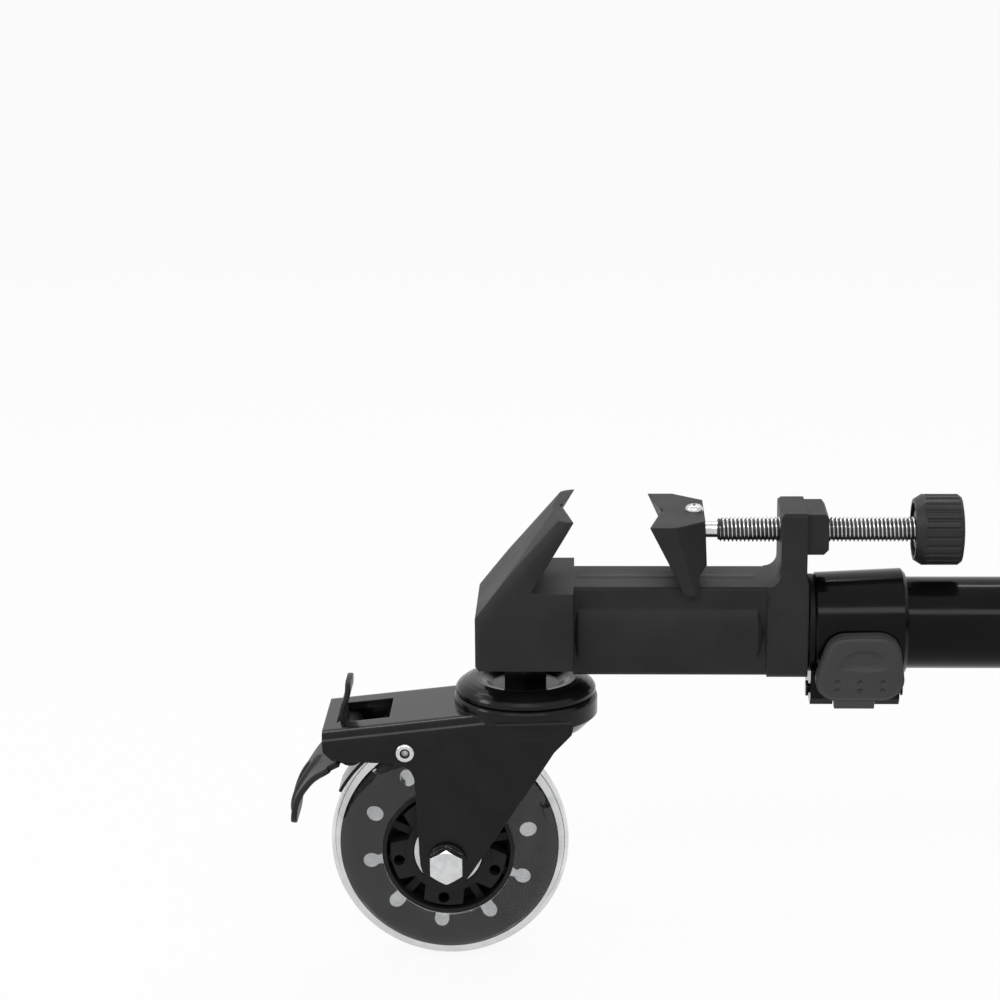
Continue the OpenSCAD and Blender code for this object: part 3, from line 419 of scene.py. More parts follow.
class FinishRack:
    """Every finish of the dolly, made once."""

    recipes: dict[Slot | Detail, BlackCoat | BareMetal | ClearUrethane] = {
        Slot.CASTING: BlackCoat(
            dark=(0.022, 0.022, 0.0225), light=(0.029, 0.029, 0.0295), worn=(0.07, 0.07, 0.072),
            rough=(0.42, 0.54), grain=(0.35, 0.02), swell=(6.0, 0.03), corner=0.9, specular=0.1),
        Slot.ENAMEL: BlackCoat(
            dark=(0.005, 0.005, 0.0055), light=(0.008, 0.008, 0.0085), worn=(0.02, 0.02, 0.021),
            rough=(0.12, 0.22), grain=(0.6, 0.004), swell=(3.0, 0.02), corner=0.6, specular=0.16, coat=0.05),
        Slot.PLASTIC: BlackCoat(
            dark=(0.036, 0.036, 0.037), light=(0.046, 0.046, 0.047), worn=(0.09, 0.09, 0.09),
            rough=(0.42, 0.56), grain=(0.25, 0.018), swell=(7.0, 0.01), corner=0.35, specular=0.3),
        Slot.ZINC: BareMetal(
            dark=(0.56, 0.565, 0.575), light=(0.66, 0.665, 0.67), rough=(0.16, 0.26),
            mark_depth=0.003, corner=0.25),
        Slot.STEEL: BareMetal(
            dark=(0.48, 0.48, 0.485), light=(0.56, 0.56, 0.56), rough=(0.12, 0.22),
            mark_depth=0.002, corner=0.15),
        Slot.URETHANE: ClearUrethane(clear=(0.7, 0.705, 0.71), smoke=(0.52, 0.525, 0.53)),
        Slot.NYLON: BlackCoat(
            dark=(0.012, 0.012, 0.0125), light=(0.018, 0.018, 0.0185), worn=(0.05, 0.05, 0.05),
            rough=(0.4, 0.5), grain=(1.2, 0.001), swell=(8.0, 0.004), corner=0.3, specular=0.15),
        Detail.TUBE: BlackCoat(
            dark=(0.003, 0.003, 0.0032), light=(0.005, 0.005, 0.0052), worn=(0.03, 0.03, 0.031),
            rough=(0.1, 0.18), grain=(0.5, 0.002), swell=(9.0, 0.01), corner=0.4, specular=0.1),
        Detail.GRIP: BlackCoat(
            dark=(0.016, 0.016, 0.0165), light=(0.022, 0.022, 0.0225), worn=(0.06, 0.06, 0.06),
            rough=(0.4, 0.52), grain=(0.25, 0.018), swell=(5.0, 0.01), corner=0.4, specular=0.25),
        # Painted shade: dark colour for thread roots and the cross recess, where shade falls
        Detail.RECESS: BlackCoat(
            dark=(0.02, 0.02, 0.02), light=(0.06, 0.06, 0.06), worn=(0.12, 0.12, 0.12),
            rough=(0.3, 0.45), grain=(0.2, 0.004), swell=(2.0, 0.004), corner=0.05, specular=0.3),
        Detail.PEDAL: BlackCoat(
            dark=(0.02, 0.02, 0.0205), light=(0.028, 0.028, 0.0285), worn=(0.05, 0.05, 0.05),
            rough=(0.34, 0.46), grain=(0.4, 0.006), swell=(5.0, 0.02), corner=0.4, specular=0.1),
        Detail.SLEEVE: BlackCoat(
            dark=(0.006, 0.006, 0.006), light=(0.009, 0.009, 0.009), worn=(0.02, 0.02, 0.02),
            rough=(0.4, 0.5), grain=(0.3, 0.004), swell=(5.0, 0.01), corner=0.2, specular=0.1),
        Detail.WINDOW: ClearUrethane(clear=(0.97, 0.97, 0.97), smoke=(0.94, 0.945, 0.945)),
    }
    parts: dict[str, Detail] = {
        "leg_tube": Detail.TUBE, "lock_collar": Detail.TUBE, "clamp_knob": Detail.GRIP}

    def __init__(self) -> None:
        """Make the materials."""
        self.made = {finish: recipe.make(finish.value) for finish, recipe in self.recipes.items()}

    def dress_nodes(self, nodes: dict[str, bpy.types.Object]) -> int:
        """Give every CAD node's material slots their finish.

        Args:
            nodes: CAD objects by node name.

        Returns:
            Number of material slots that were dressed.
        """
        by_name = {slot.value: self.made[slot] for slot in Slot}
        count = 0
        for node_name, node in nodes.items():
            special = self.made.get(self.parts.get(node_name.rsplit("_", 1)[0]))
            for place in node.material_slots:
                name = place.material.name.split(".")[0] if place.material else ""
                place.material = special or by_name.get(name, self.made[Slot.CASTING])
                count += 1
        return count


# Meshes


def clamp(value: float) -> float:
    """Hold a value between 0 and 1."""
    return min(1.0, max(0.0, value))


def arch(across: float) -> float:
    """Height of a round arch of height 1, at a place from -1 to 1 across it, and 0 beyond its feet."""
    return math.sqrt(max(0.0, 1 - across * across))


def round_off(share: float, corner: float) -> float:
    """How far a rounded end has drawn in: 0 up to its corner, 1 at its tip, where the share is 1."""
    return 1 - arch(max(0.0, 1 - (1 - share) / corner))


def angles_round(count: int, start: float = 0.0) -> list[float]:
    """Angles of points evenly spaced round a circle, in radians."""
    return [start + 2 * math.pi * j / count for j in range(count)]


def mirror(profile: Sequence[Flat]) -> list[Flat]:
    """Points of a profile on the other side of the leg's middle, in reverse order."""
    return [(radius, -y) for radius, y in reversed(profile)]


def smooth_path(points: Sequence[Flat], steps: int) -> list[Flat]:
    """Curve through points, without corners.

    Args:
        points: Points of a side view.
        steps: Steps between two of them.

    Returns:
        The curve's points.
    """
    ends = [points[0], *points, points[-1]]
    curve = []
    for p0, p1, p2, p3 in zip(ends, ends[1:], ends[2:], ends[3:]):
        for i in range(steps):
            t = i / steps
            curve.append(tuple(
                b + 0.5 * t * (c - a + t * (2 * a - 5 * b + 4 * c - d + t * (3 * (b - c) + d - a)))
                for a, b, c, d in zip(p0, p1, p2, p3)))
    return [*curve, points[-1]]


def leg_matrix(leg: int) -> Matrix:
    """Matrix from a leg's own millimetres to the dolly's metres.

    Args:
        leg: Number of the leg, 1 to 3.

    Returns:
        The matrix.
    """
    shift = Matrix.Translation((-SPREAD_RADIUS, 0.0, LEG_AXIS_Z))
    turn = Matrix.Rotation(math.radians(LEG_TURNS[leg]), 4, "Z")
    return Matrix.Scale(MM, 4) @ turn @ shift


class Shape:
    """Mesh under construction, in a leg's millimetres."""

    sheet_columns: int = 48
    sheet_soft: float = 0.5
    sheet_soft_share: float = 0.8

    def __init__(self) -> None:
        """Start with no faces."""
        self.points: list[Point] = []
        self.faces: list[tuple[int, ...]] = []

    def grid(self, rings: Sequence[Sequence[Point]], closed: bool = True, cap_first: bool = False,
             cap_last: bool = False) -> "Shape":
        """Skin a list of rings that have the same number of points.

        Args:
            rings: Rings of points, in order.
            closed: Whether each ring's last point joins its first.
            cap_first: Whether to close the first ring with one face.
            cap_last: Whether to close the last ring with one face.

        Returns:
            This shape.
        """
        start = len(self.points)
        width = len(rings[0])
        for ring in rings:
            self.points.extend(ring)
        span = width if closed else width - 1
        for i in range(len(rings) - 1):
            low = start + i * width
            for j in range(span):
                k = (j + 1) % width
                self.faces.append((low + j, low + k, low + width + k, low + width + j))
        if cap_first:
            self.faces.append(tuple(start + j for j in reversed(range(width))))
        if cap_last:
            last = start + (len(rings) - 1) * width
            self.faces.append(tuple(last + j for j in range(width)))
        return self

    def turned(self, profile: Sequence[Flat], segments: int, centre: Point = (0, 0, 0), closed: bool = False,
               axis: Axis = Axis.Y) -> "Shape":
        """Turn a profile of (radius, height) points round an axis.

        Args:
            profile: Points from one end to the other.
            segments: Number of steps round.
            centre: A point on the axis, where the height is 0.
            closed: Whether the profile's last point joins its first.
            axis: Axis to turn round.

        Returns:
            This shape.
        """
        rings = []
        for radius, height in [*profile, profile[0]] if closed else profile:
            ring = []
            for a in angles_round(segments):
                u, v = radius * math.cos(a), radius * math.sin(a)
                local = (height, u, v) if axis is Axis.X else (v, height, u)
                ring.append(tuple(c + o for c, o in zip(local, centre)))
            rings.append(ring)
        return self.grid(rings)

    def roller(self, radius: float, half: float, centre: Point, segments: int, bore: float = 0.0) -> "Shape":
        """Add a round bar across the leg, or a sleeve if it has a bore."""
        end = [(bore, -half), (radius, -half)]
        return self.turned([*end, *mirror(end)], segments, centre, closed=bore > 0)

    def prism(self, outline: Sequence[Flat], y0: float, y1: float) -> "Shape":
        """Draw a side view of (x, z) points out from y0 to y1."""
        return self.grid([[(x, y, z) for x, z in outline] for y in (y0, y1)], cap_first=True, cap_last=True)

    def sheet(self, path: Sequence[Flat], half_w: Callable[[float], float], thick: float,
              rise: Callable[[float, float], float]) -> "Shape":
        """Bend a steel sheet along a side view, the same on both sides of the leg's middle.

        Args:
            path: Middle of the sheet as (x, z) points, from root to tip.
            half_w: Half of the width at a share of the length.
            thick: Thickness.
            rise: Height pressed into the upper face, by share of the length and place across.

        Returns:
            This shape.
        """
        rings = []
        last = len(path) - 1
        half = thick / 2
        soft = min(self.sheet_soft, half * self.sheet_soft_share)
        for i, (x, z) in enumerate(path):
            before, after = path[max(0, i - 1)], path[min(last, i + 1)]
            run, fall = after[0] - before[0], after[1] - before[1]
            length = math.hypot(run, fall)
            up = (fall / length, -run / length)
            share = i / last
            w = half_w(share)
            inner = w - soft
            columns = [-inner + inner * 2 * j / self.sheet_columns for j in range(self.sheet_columns + 1)]
            top = [(y, half + rise(share, y)) for y in columns]
            section = [(-w, half - soft), (-w, soft - half), (-inner, -half), (inner, -half),
                       (w, soft - half), (w, half - soft), *reversed(top)]
            rings.append([(x + h * up[0], y, z + h * up[1]) for y, h in section])
        return self.grid(rings, cap_first=True, cap_last=True)

    def build(self, name: str, leg: int, material: bpy.types.Material,
              smooth_below: float) -> bpy.types.Object:
        """Turn the shape into an object in the dolly's frame, with clean faces.

        Args:
            name: Name of the piece.
            leg: Leg that the millimetres belong to.
            material: Finish of the piece.
            smooth_below: Edges up to this many degrees are shaded smooth.

        Returns:
            The object.
        """
        mesh = bpy.data.meshes.new(name)
        mesh.from_pydata(self.points, [], self.faces)
        mesh.transform(leg_matrix(leg))
        work = bmesh.new()
        work.from_mesh(mesh)
        bmesh.ops.remove_doubles(work, verts=work.verts, dist=WELD)
        bmesh.ops.dissolve_degenerate(work, dist=SLIVER, edges=work.edges)
        bmesh.ops.recalc_face_normals(work, faces=work.faces)
        limit = math.radians(smooth_below)
        for face in work.faces:
            face.smooth = True
        for edge in work.edges:
            edge.smooth = len(edge.link_faces) != 2 or edge.calc_face_angle(0.0) < limit
        work.to_mesh(mesh)
        work.free()
        mesh.materials.append(material)
        piece = bpy.data.objects.new(name, mesh)
        bpy.context.scene.collection.objects.link(piece)
        return piece


def dress_faces(piece: bpy.types.Object, leg: int, material: bpy.types.Material,
                test: Callable[[Point], bool]) -> None:
    """Give a second finish to the faces whose middle passes a test.

    Args:
        piece: The object.
        leg: Leg that it belongs to.
        material: The second finish.
        test: Function of a point in the leg's millimetres.
    """
    piece.data.materials.append(material)
    back = leg_matrix(leg).inverted()
    for face in piece.data.polygons:
        if test(tuple(back @ face.center)):
            face.material_index = 1


def finish_piece(piece: bpy.types.Object, body: str, slot: Slot, *nodes: str) -> bpy.types.Object:
    """Hang a piece on its body, and let it stand for CAD nodes.

    Args:
        piece: The object.
        body: Body that it moves with.
        slot: Slot of the record that its finish comes from; not used.
        nodes: CAD nodes that it replaces.

    Returns:
        The piece.
    """
    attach(piece, body)
    if nodes:
        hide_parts(*nodes)
    LOG.info("%s rides on %s with %d faces", piece.name, body, len(piece.data.polygons))
    return piece


# Pieces of a leg


@dataclass(frozen=True)
class LegPart:
    """A piece that every leg has one of.

    Each kind says what it is called, which body it rides on and which slot it takes. It may also name a
    finish of its own in place of the slot's, a second one for some of its faces, and the CAD part that it
    stands for.
    """

    name: ClassVar[str]
    body: ClassVar[str]
    slot: ClassVar[Slot]
    finish: ClassVar[Detail | None] = None
    second: ClassVar[Slot | Detail | None] = None
    stands_for: ClassVar[str | None] = None
    smooth_below: ClassVar[float] = 40.0

    def shape(self) -> Shape:
        """Draw the piece; each kind has its own drawing."""
        raise NotImplementedError

    def has_second(self, point: Point) -> bool:
        """Whether a face whose middle is at this point has the second finish."""
        return False

    def rides_on(self, leg: int) -> str:
        """Name of the body that the piece of a leg moves with."""
        return f"{self.body}_{leg}"

    def build(self, leg: int, rack: FinishRack) -> bpy.types.Object:
        """Build the piece of one leg.

        Args:
            leg: Number of the leg.
            rack: The finishes.

        Returns:
            The piece.
        """
        finish = rack.made[self.finish or self.slot]
        piece = self.shape().build(f"{self.name}_{leg}", leg, finish, self.smooth_below)
        if self.second:
            dress_faces(piece, leg, rack.made[self.second], self.has_second)
        nodes = [f"{self.stands_for}_{leg}"] if self.stands_for else []
        return finish_piece(piece, self.rides_on(leg), self.slot, *nodes)


@dataclass(frozen=True)
class CasterPart(LegPart):
    """A piece of the caster, with the places that such pieces share."""

    axle_x: float = -24.5
    axle_z: float = -72.5
    fork_half: float = 19.8

    def axle(self) -> Point:
        """Middle of the axle."""
        return (self.axle_x, 0, self.axle_z)

    def from_axle(self, point: Point) -> float:
        """Distance of a point from the axle's line."""
        return math.hypot(point[0] - self.axle_x, point[2] - self.axle_z)


@dataclass(frozen=True)
class ClampScrew(LegPart):
    """Clamp screw with its rolled thread and the grooved spigot that turns in the sliding jaw.

    The root's flat and the flank are shares of half a pitch, and the thread runs out over a part of a turn.
    """

    name = "rolled_screw"
    body = "screw"
    slot = Slot.ZINC
    # The thread's root faces get the painted recess shade: dark stripes where shade falls between the crests
    second = Detail.RECESS
    stands_for = "clamp_screw"
    smooth_below = 50.0

    axis_z: float = 30.0
    crest_r: float = 3.9
    root_r: float = 3.2
    pitch: float = 1.25
    root_flat: float = 0.16
    flank: float = 0.7
    run_out: float = 0.9
    thread_x0: float = 59.8
    thread_x1: float = 131.1
    spigot_x0: float = 47.7
    spigot_r: float = 2.5
    spigot_chamfer: float = 0.4
    groove_r: float = 1.7
    groove_x0: float = 50.9
    groove_x1: float = 54.1
    groove_slope: float = 0.2
    neck_start: float = 0.2
    neck_end: float = 0.05
    around: int = 36
    across: int = 8

    def radius(self, x: float, phase: float) -> float:
        """Radius of the thread.

        Args:
            x: Place along the screw.
            phase: Place across one turn of the thread, 0 to 1.

        Returns:
            The radius.
        """
        rise = clamp((abs(phase - 0.5) * 2.0 - self.root_flat) / self.flank)
        height = rise * rise * (3 - 2 * rise)
        lead = clamp(min(x - self.thread_x0, self.thread_x1 - x) / (self.pitch * self.run_out))
        return self.root_r + (self.crest_r - self.root_r) * height * lead

    def thread_row(self, start: int) -> list[Point]:
        """Line round the thread that climbs by a pitch in one turn.

        Args:
            start: Where the line begins, in steps across the pitch.

        Returns:
            The points.
        """
        row = []
        for j in range(self.around + 1):
            climb = (start + self.across * j / self.around) * self.pitch / self.across
            x = min(max(self.thread_x0 + climb, self.thread_x0), self.thread_x1)
            r = self.radius(x, (start / self.across) % 1.0)
            a = 2 * math.pi * j / self.around
            row.append((x, r * math.cos(a), self.axis_z + r * math.sin(a)))
        return row

    def shape(self) -> Shape:
        """Draw the spigot, the thread and the far end.

        Returns:
            The shape.
        """
        x0, x1 = self.thread_x0, self.thread_x1
        spigot = [(0.0, self.spigot_x0), (self.spigot_r - self.spigot_chamfer, self.spigot_x0),
                  (self.spigot_r, self.spigot_x0 + self.spigot_chamfer), (self.spigot_r, self.groove_x0),
                  (self.groove_r, self.groove_x0 + self.groove_slope),
                  (self.groove_r, self.groove_x1 - self.groove_slope), (self.spigot_r, self.groove_x1),
                  (self.spigot_r, x0 - self.neck_start), (self.root_r, x0 - self.neck_end), (self.root_r, x0)]
        axis_point = (0, 0, self.axis_z)
        shape = Shape().turned(spigot, self.around, axis_point, axis=Axis.X)
        rows = int((x1 - x0) / (self.pitch / self.across)) + self.across
        shape.grid([self.thread_row(i) for i in range(-self.across, rows + 1)], closed=False)
        return shape.turned([(self.root_r, x1), (0.0, x1)], self.around, axis_point, axis=Axis.X)

    def has_second(self, point: Point) -> bool:
        """Whether a face of the thread lies nearer to its root than to its crest, and so gets the painted
        shade.
        """
        middle_r = (self.root_r + self.crest_r) / 2
        return point[0] > self.thread_x0 and math.hypot(point[1], point[2] - self.axis_z) < middle_r


@dataclass(frozen=True)
class Tyre(CasterPart):
    """Clear cast tyre, with the hollow that grips the core's rim, and the clear plugs of the core's windows.

    The bevel's points are steps out from the bore and in from the side wall, and the shoulder's are steps in
    from the tread and in from the side wall.
    """

    name = "clear_tyre"
    body = "wheel"
    slot = Slot.URETHANE
    second = Detail.WINDOW
    stands_for = "tyre"

    radius: float = 38.0
    half_width: float = 12.0
    tread_r: float = 12.0
    tread_turn: float = 66.0
    tread_steps: int = 40
    bevel: Sequence[Flat] = ((0.0, 0.6), (0.5, 0.15), (1.5, 0.0))
    shoulder: Sequence[Flat] = ((11.0, 0.12), (9.0, 0.4))
    bore_r: float = 21.0
    rim_r: float = 33.05
    rim_half: float = 2.65
    rim_soft: float = 0.5
    plug_ring_r: float = 25.4
    plug_r: float = 2.35
    plug_half: float = 2.6
    plug_count: int = 10
    plug_turn: float = 24.0
    margin: float = 0.01
    around: int = 160
    plug_around: int = 32

    def profile(self) -> list[Flat]:
        """Cross-section as (radius, across) points, all the way round.

        Returns:
            The points.
        """
        turns = [2 * self.tread_turn * i / self.tread_steps for i in range(self.tread_steps + 1)]
        tread = [(self.radius - self.tread_r + self.tread_r * math.cos(a), self.tread_r * math.sin(a))
                 for a in (math.radians(turn - self.tread_turn) for turn in turns)]
        wall = [(self.bore_r + out, inward - self.half_width) for out, inward in self.bevel]
        wall += [(self.radius - inner, inward - self.half_width) for inner, inward in self.shoulder]
        hollow = [(self.bore_r, self.rim_half), (self.rim_r - self.rim_soft, self.rim_half),
                  (self.rim_r, self.rim_half - self.rim_soft)]
        return [*wall, *tread, *mirror(wall), *hollow, *mirror(hollow)]

    def shape(self) -> Shape:
        """Draw the tyre and the ring of plugs.

        Returns:
            The shape.
        """
        shape = Shape().turned(self.profile(), self.around, self.axle(), closed=True)
        for i in range(self.plug_count):
            a = math.radians(self.plug_turn + i * 360 / self.plug_count)
            out, down = self.plug_ring_r * math.cos(a), self.plug_ring_r * math.sin(a)
            centre = (self.axle_x + out, 0, self.axle_z - down)
            shape.roller(self.plug_r, self.plug_half, centre, self.plug_around)
        return shape

    def has_second(self, point: Point) -> bool:
        """Whether a face belongs to a plug."""
        return (abs(point[1]) < self.plug_half + self.margin
                and abs(self.from_axle(point) - self.plug_ring_r) < self.plug_r + self.margin)


@dataclass(frozen=True)
class LeverPad(LegPart):
    """Raised face of the leg lock's lever: a domed pad with a thumb hollow and six grip dimples.

    Its outline is the common skin of four corner discs, less an inset. The corners are (x, z, radius). Rings
    crowd towards the outline, and the slant turns a step along a spoke into one across the outline.
    """

    name = "lever_pad"
    body = "lever"
    slot = Slot.PLASTIC
    smooth_below = 60.0

    lean: float = 8.4
    face_y: float = -17.644
    back_y: float = -2.9
    seat_y: float = -3.0
    rise: float = 1.1
    shoulder: float = 2.2
    inset: float = 0.5
    hollow_centre: Flat = (104.2, -5.7)
    hollow_half: Flat = (7.8, 3.6)
    hollow_depth: float = 1.5
    hollow_bow: float = 0.35
    hollow_power: float = 0.75
    dot_columns: Sequence[float] = (96.2, 103.1, 110.1)
    dot_rows: Sequence[float] = (-12.9, -15.7)
    dot_r: float = 0.8
    dot_depth: float = 0.7
    corners: Sequence[Point] = (
        (96.5, -12.8, 7.0), (109.5, -12.6, 7.2), (98.7, -4.6, 6.6), (108.7, -4.6, 6.8))
    middle: Flat = (103.2, -8.6)
    farthest: float = 30.0
    halvings: int = 26
    skin_sides: int = 72
    around: int = 240
    rows: int = 60
    crowding: float = 1.35
    slant: float = 0.93

    def inside(self, x: float, z: float) -> bool:
        """Whether a point is within the pad's outline.

        Args:
            x: Place along the leg.
            z: Place up the lever.

        Returns:
            True if it is.
        """
        return all(
            x * math.cos(a) + z * math.sin(a)
            <= max(cx * math.cos(a) + cz * math.sin(a) + r for cx, cz, r in self.corners) - self.inset
            for a in angles_round(self.skin_sides))

    def reach(self, angle: float) -> float:
        """Distance from the pad's middle to its outline.

        Args:
            angle: Direction in radians.

        Returns:
            The distance.
        """
        low, high = 0.0, self.farthest
        for _ in range(self.halvings):
            half = (low + high) / 2
            if self.inside(self.middle[0] + half * math.cos(angle), self.middle[1] + half * math.sin(angle)):
                low = half
            else:
                high = half
        return low

    def height(self, x: float, z: float, from_edge: float) -> float:
        """Height of the pad's face.

        Args:
            x: Place along the leg.
            z: Place up the lever.
            from_edge: Distance to the pad's outline.

        Returns:
            The height above the pad's seat.
        """
        dome = arch(1 - clamp(from_edge / self.shoulder))
        u = (x - self.hollow_centre[0]) / self.hollow_half[0]
        v = (z - self.hollow_centre[1]) / self.hollow_half[1] + self.hollow_bow * u * u
        hollow = max(0.0, 1 - u * u - v * v) ** self.hollow_power
        dot = max(arch(math.hypot(x - column, z - row) / self.dot_r)
                  for column in self.dot_columns for row in self.dot_rows)
        return self.rise * dome - self.hollow_depth * hollow - self.dot_depth * dot

    def tilt(self, point: Point) -> Point:
        """Bring a point from the lever's own plane to the leg's frame.

        Args:
            point: The point, with y out of the lever's plane.

        Returns:
            The point in the leg's frame.
        """
        x, y, z = point
        a = math.radians(self.lean)
        return (x, self.face_y + y * math.cos(a) - z * math.sin(a), y * math.sin(a) + z * math.cos(a))

    def shape(self) -> Shape:
        """Draw the pad: its back, then rings from the outline to the middle.

        Returns:
            The shape.
        """
        spokes = [(r * math.cos(a), r * math.sin(a))
                  for a, r in ((a, self.reach(a)) for a in angles_round(self.around))]
        x0, z0 = self.middle
        rings = [[(x0 + u, self.back_y, z0 + v) for u, v in spokes]]
        for row in range(self.rows + 1):
            share = 1 - (row / self.rows) ** self.crowding
            ring = []
            for u, v in spokes:
                x, z = x0 + share * u, z0 + share * v
                from_edge = (1 - share) * math.hypot(u, v) * self.slant
                ring.append((x, self.seat_y - self.height(x, z, from_edge), z))
            rings.append(ring)
        shape = Shape().grid(rings, cap_first=True)
        shape.points = [self.tilt(point) for point in shape.points]
        return shape


@dataclass(frozen=True)
class AxleSet(CasterPart):
    """Wheel axle: chamfered hexagon head, black washers, sleeve, threaded end and nut.

    The thread's crest and root are the places, in its pitch, where each begins and ends.
    """

    name = "axle_set"
    body = "fork"
    slot = Slot.ZINC
    second = Slot.ENAMEL
    stands_for = "axle"
    smooth_below = 30.0

    fork_t: float = 2.5
    washer_r: float = 6.2
    washer_t: float = 1.6
    washer_chamfer: float = 0.25
    flats: float = 10.0
    free_share: float = 0.985
    chamfer_turn: float = 32.0
    head_t: float = 4.0
    head_overlap: float = 0.1
    nut_t: float = 6.0
    nut_play: float = 0.02
    bolt_r: float = 3.0
    bolt_end: float = 1.0
    plain_end: float = 1.0
    bolt_chamfer: Flat = (0.5, 0.7)
    thread_start: float = 0.8
    thread_turns: int = 7
    pitch: float = 1.0
    thread_depth: float = 0.45
    crest: Flat = (0.0, 0.1)
    root: Flat = (0.45, 0.6)
    play: float = 0.03
    sleeve_r: float = 4.0
    flange_r: float = 5.6
    flange_y: float = 12.15
    margin: float = 0.05
    hexagon_around: int = 96
    bolt_around: int = 48
    washer_around: int = 72
    sleeve_around: int = 64

    def outer(self) -> float:
        """Distance from the leg's middle to the washers' outer faces."""
        return self.fork_half + self.washer_t

    def corner(self, angle: float) -> float:
        """Distance from the hexagon's middle to its side."""
        turn = (angle + math.pi / 6) % (math.pi / 3) - math.pi / 6
        return self.flats / 2 / math.cos(turn)

    def free_r(self) -> float:
        """Radius inside which the hexagon's faces stay flat."""
        return self.flats / 2 * self.free_share

    def hexagon_ring(self, y: float, radius: float | None, chamfer: float = 0.0) -> list[Point]:
        """Ring of a hexagon's face or side.

        Args:
            y: Place across the leg.
            radius: Radius of a round ring, or None for the hexagon's own outline.
            chamfer: How far the outline leaves y for each millimetre beyond the flat face.

        Returns:
            The points.
        """
        points = []
        for a in angles_round(self.hexagon_around, math.pi / 6):
            out = self.corner(a) if radius is None else radius
            height = y + chamfer * max(0.0, out - self.free_r())
            points.append((self.axle_x + out * math.cos(a), height, self.axle_z + out * math.sin(a)))
        return points

    def hexagon(self, shape: Shape, y0: float, y1: float, bore: float) -> None:
        """Add a hexagon whose corners are chamfered at its far end, and at its seat too if it has a bore.

        Args:
            shape: Shape to add to.
            y0: Seat of the hexagon.
            y1: Its far end.
            bore: Radius of the hole, or 0 for a solid head.
        """
        slope = math.tan(math.radians(self.chamfer_turn)) * (1 if y1 > y0 else -1)
        rings = [self.hexagon_ring(y0, bore), self.hexagon_ring(y0, self.free_r()),
                 self.hexagon_ring(y0, None, slope if bore else 0.0), self.hexagon_ring(y1, None, -slope),
                 self.hexagon_ring(y1, self.free_r()), self.hexagon_ring(y1, bore)]
        shape.grid([*rings, rings[0]] if bore else rings)

    def shank(self) -> list[Flat]:
        """Profile of the bolt's shank and its threaded end.

        Returns:
            The (radius, across) points.
        """
        outer, bolt_r = self.outer(), self.bolt_r
        root_r = bolt_r - self.thread_depth
        start = -outer - self.head_overlap
        profile = [(0.0, start), (bolt_r, start), (bolt_r, outer - self.plain_end)]
        for i in range(self.thread_turns):
            y = outer - self.thread_start + i * self.pitch
            profile += [(bolt_r, y + step) for step in self.crest]
            profile += [(root_r, y + step) for step in self.root]
        tip = outer + self.nut_t + self.bolt_end
        inward, back = self.bolt_chamfer
        return [*profile, (bolt_r, tip - back), (bolt_r - inward, tip), (0.0, tip)]

    def shape(self) -> Shape:
        """Draw the head, nut, shank, washers and sleeve.

        Returns:
            The shape.
        """
        shape = Shape()
        outer, washer_r = self.outer(), self.washer_r
        bore = self.bolt_r + self.play
        self.hexagon(shape, -outer, -outer - self.head_t, 0.0)
        self.hexagon(shape, outer, outer + self.nut_t, self.bolt_r + self.nut_play)
        shape.turned(self.shank(), self.bolt_around, self.axle())
        for side in (-1, 1):
            inner, edge, chamfer = self.fork_half * side, outer * side, self.washer_chamfer * side
            washer = [(bore, inner), (washer_r, inner), (washer_r, edge - chamfer),
                      (washer_r - self.washer_chamfer, edge), (bore, edge)]
            shape.turned(washer, self.washer_around, self.axle(), closed=True)
        fork_inner = self.fork_half - self.fork_t
        end = [(bore, -fork_inner), (self.flange_r, -fork_inner), (self.flange_r, -self.flange_y),
               (self.sleeve_r, -self.flange_y)]
        return shape.turned([*end, *mirror(end)], self.sleeve_around, self.axle(), closed=True)

    def has_second(self, point: Point) -> bool:
        """Whether a face belongs to a washer."""
        across = self.fork_half - self.margin < abs(point[1]) < self.outer() + self.margin
        return across and self.from_axle(point) > self.bolt_r


@dataclass(frozen=True)
class JawScrew(LegPart):
    """Cross-head screw on the sliding jaw, zinc plated, with painted shade in its cross recess."""

    name = "jaw_screw"
    body = "jaw"
    slot = Slot.ZINC
    # The cross recess gets the painted recess shade
    second = Detail.RECESS

    x: float = 52.5
    seat_z: float = 36.0
    seat_lift: float = 0.02
    head_r: float = 2.84
    head_h: float = 1.94
    flat_r: float = 1.1
    rim_h: float = 0.2
    slot_half: float = 0.24
    slot_reach: float = 1.5
    slot_floor: float = 0.98
    slot_rise: float = 0.35
    slot_lip: float = 0.3
    point_r: float = 0.02
    around: int = 120
    rows: int = 34

    def in_slot(self, x: float, y: float) -> bool:
        """Whether a place on the head, measured from its middle, is in the cross recess."""
        return min(abs(x), abs(y)) < self.slot_half and max(abs(x), abs(y)) < self.slot_reach

    def top(self, x: float, y: float) -> float:
        """Height of the head's face.

        Args:
            x: Place along the leg, from the head's middle.
            y: Place across it.

        Returns:
            The height above the seat.
        """
        out = max(0.0, math.hypot(x, y) - self.flat_r) / (self.head_r - self.flat_r)
        dome = self.rim_h + (self.head_h - self.rim_h) * arch(out)
        if not self.in_slot(x, y):
            return dome
        return min(dome, self.slot_floor + self.slot_rise * max(abs(x), abs(y)) / self.slot_reach)

    def shape(self) -> Shape:
        """Draw the head in rings from its middle to its rim.

        Returns:
            The shape.
        """
        rings = []
        for r in (self.point_r, *(self.head_r * i / self.rows for i in range(1, self.rows + 1))):
            places = [(r * math.cos(a), r * math.sin(a)) for a in angles_round(self.around)]
            rings.append([(self.x + u, v, self.seat_z + self.top(u, v)) for u, v in places])
        rings.append([(x, y, self.seat_z + self.seat_lift) for x, y, _ in rings[-1]])
        return Shape().grid(rings, cap_first=True, cap_last=True)

    def has_second(self, point: Point) -> bool:
        """Whether a face lies down in the cross recess, where the painted shade goes."""
        x, y, z = point
        return z < self.seat_z + self.head_h - self.slot_lip and self.in_slot(x - self.x, y)


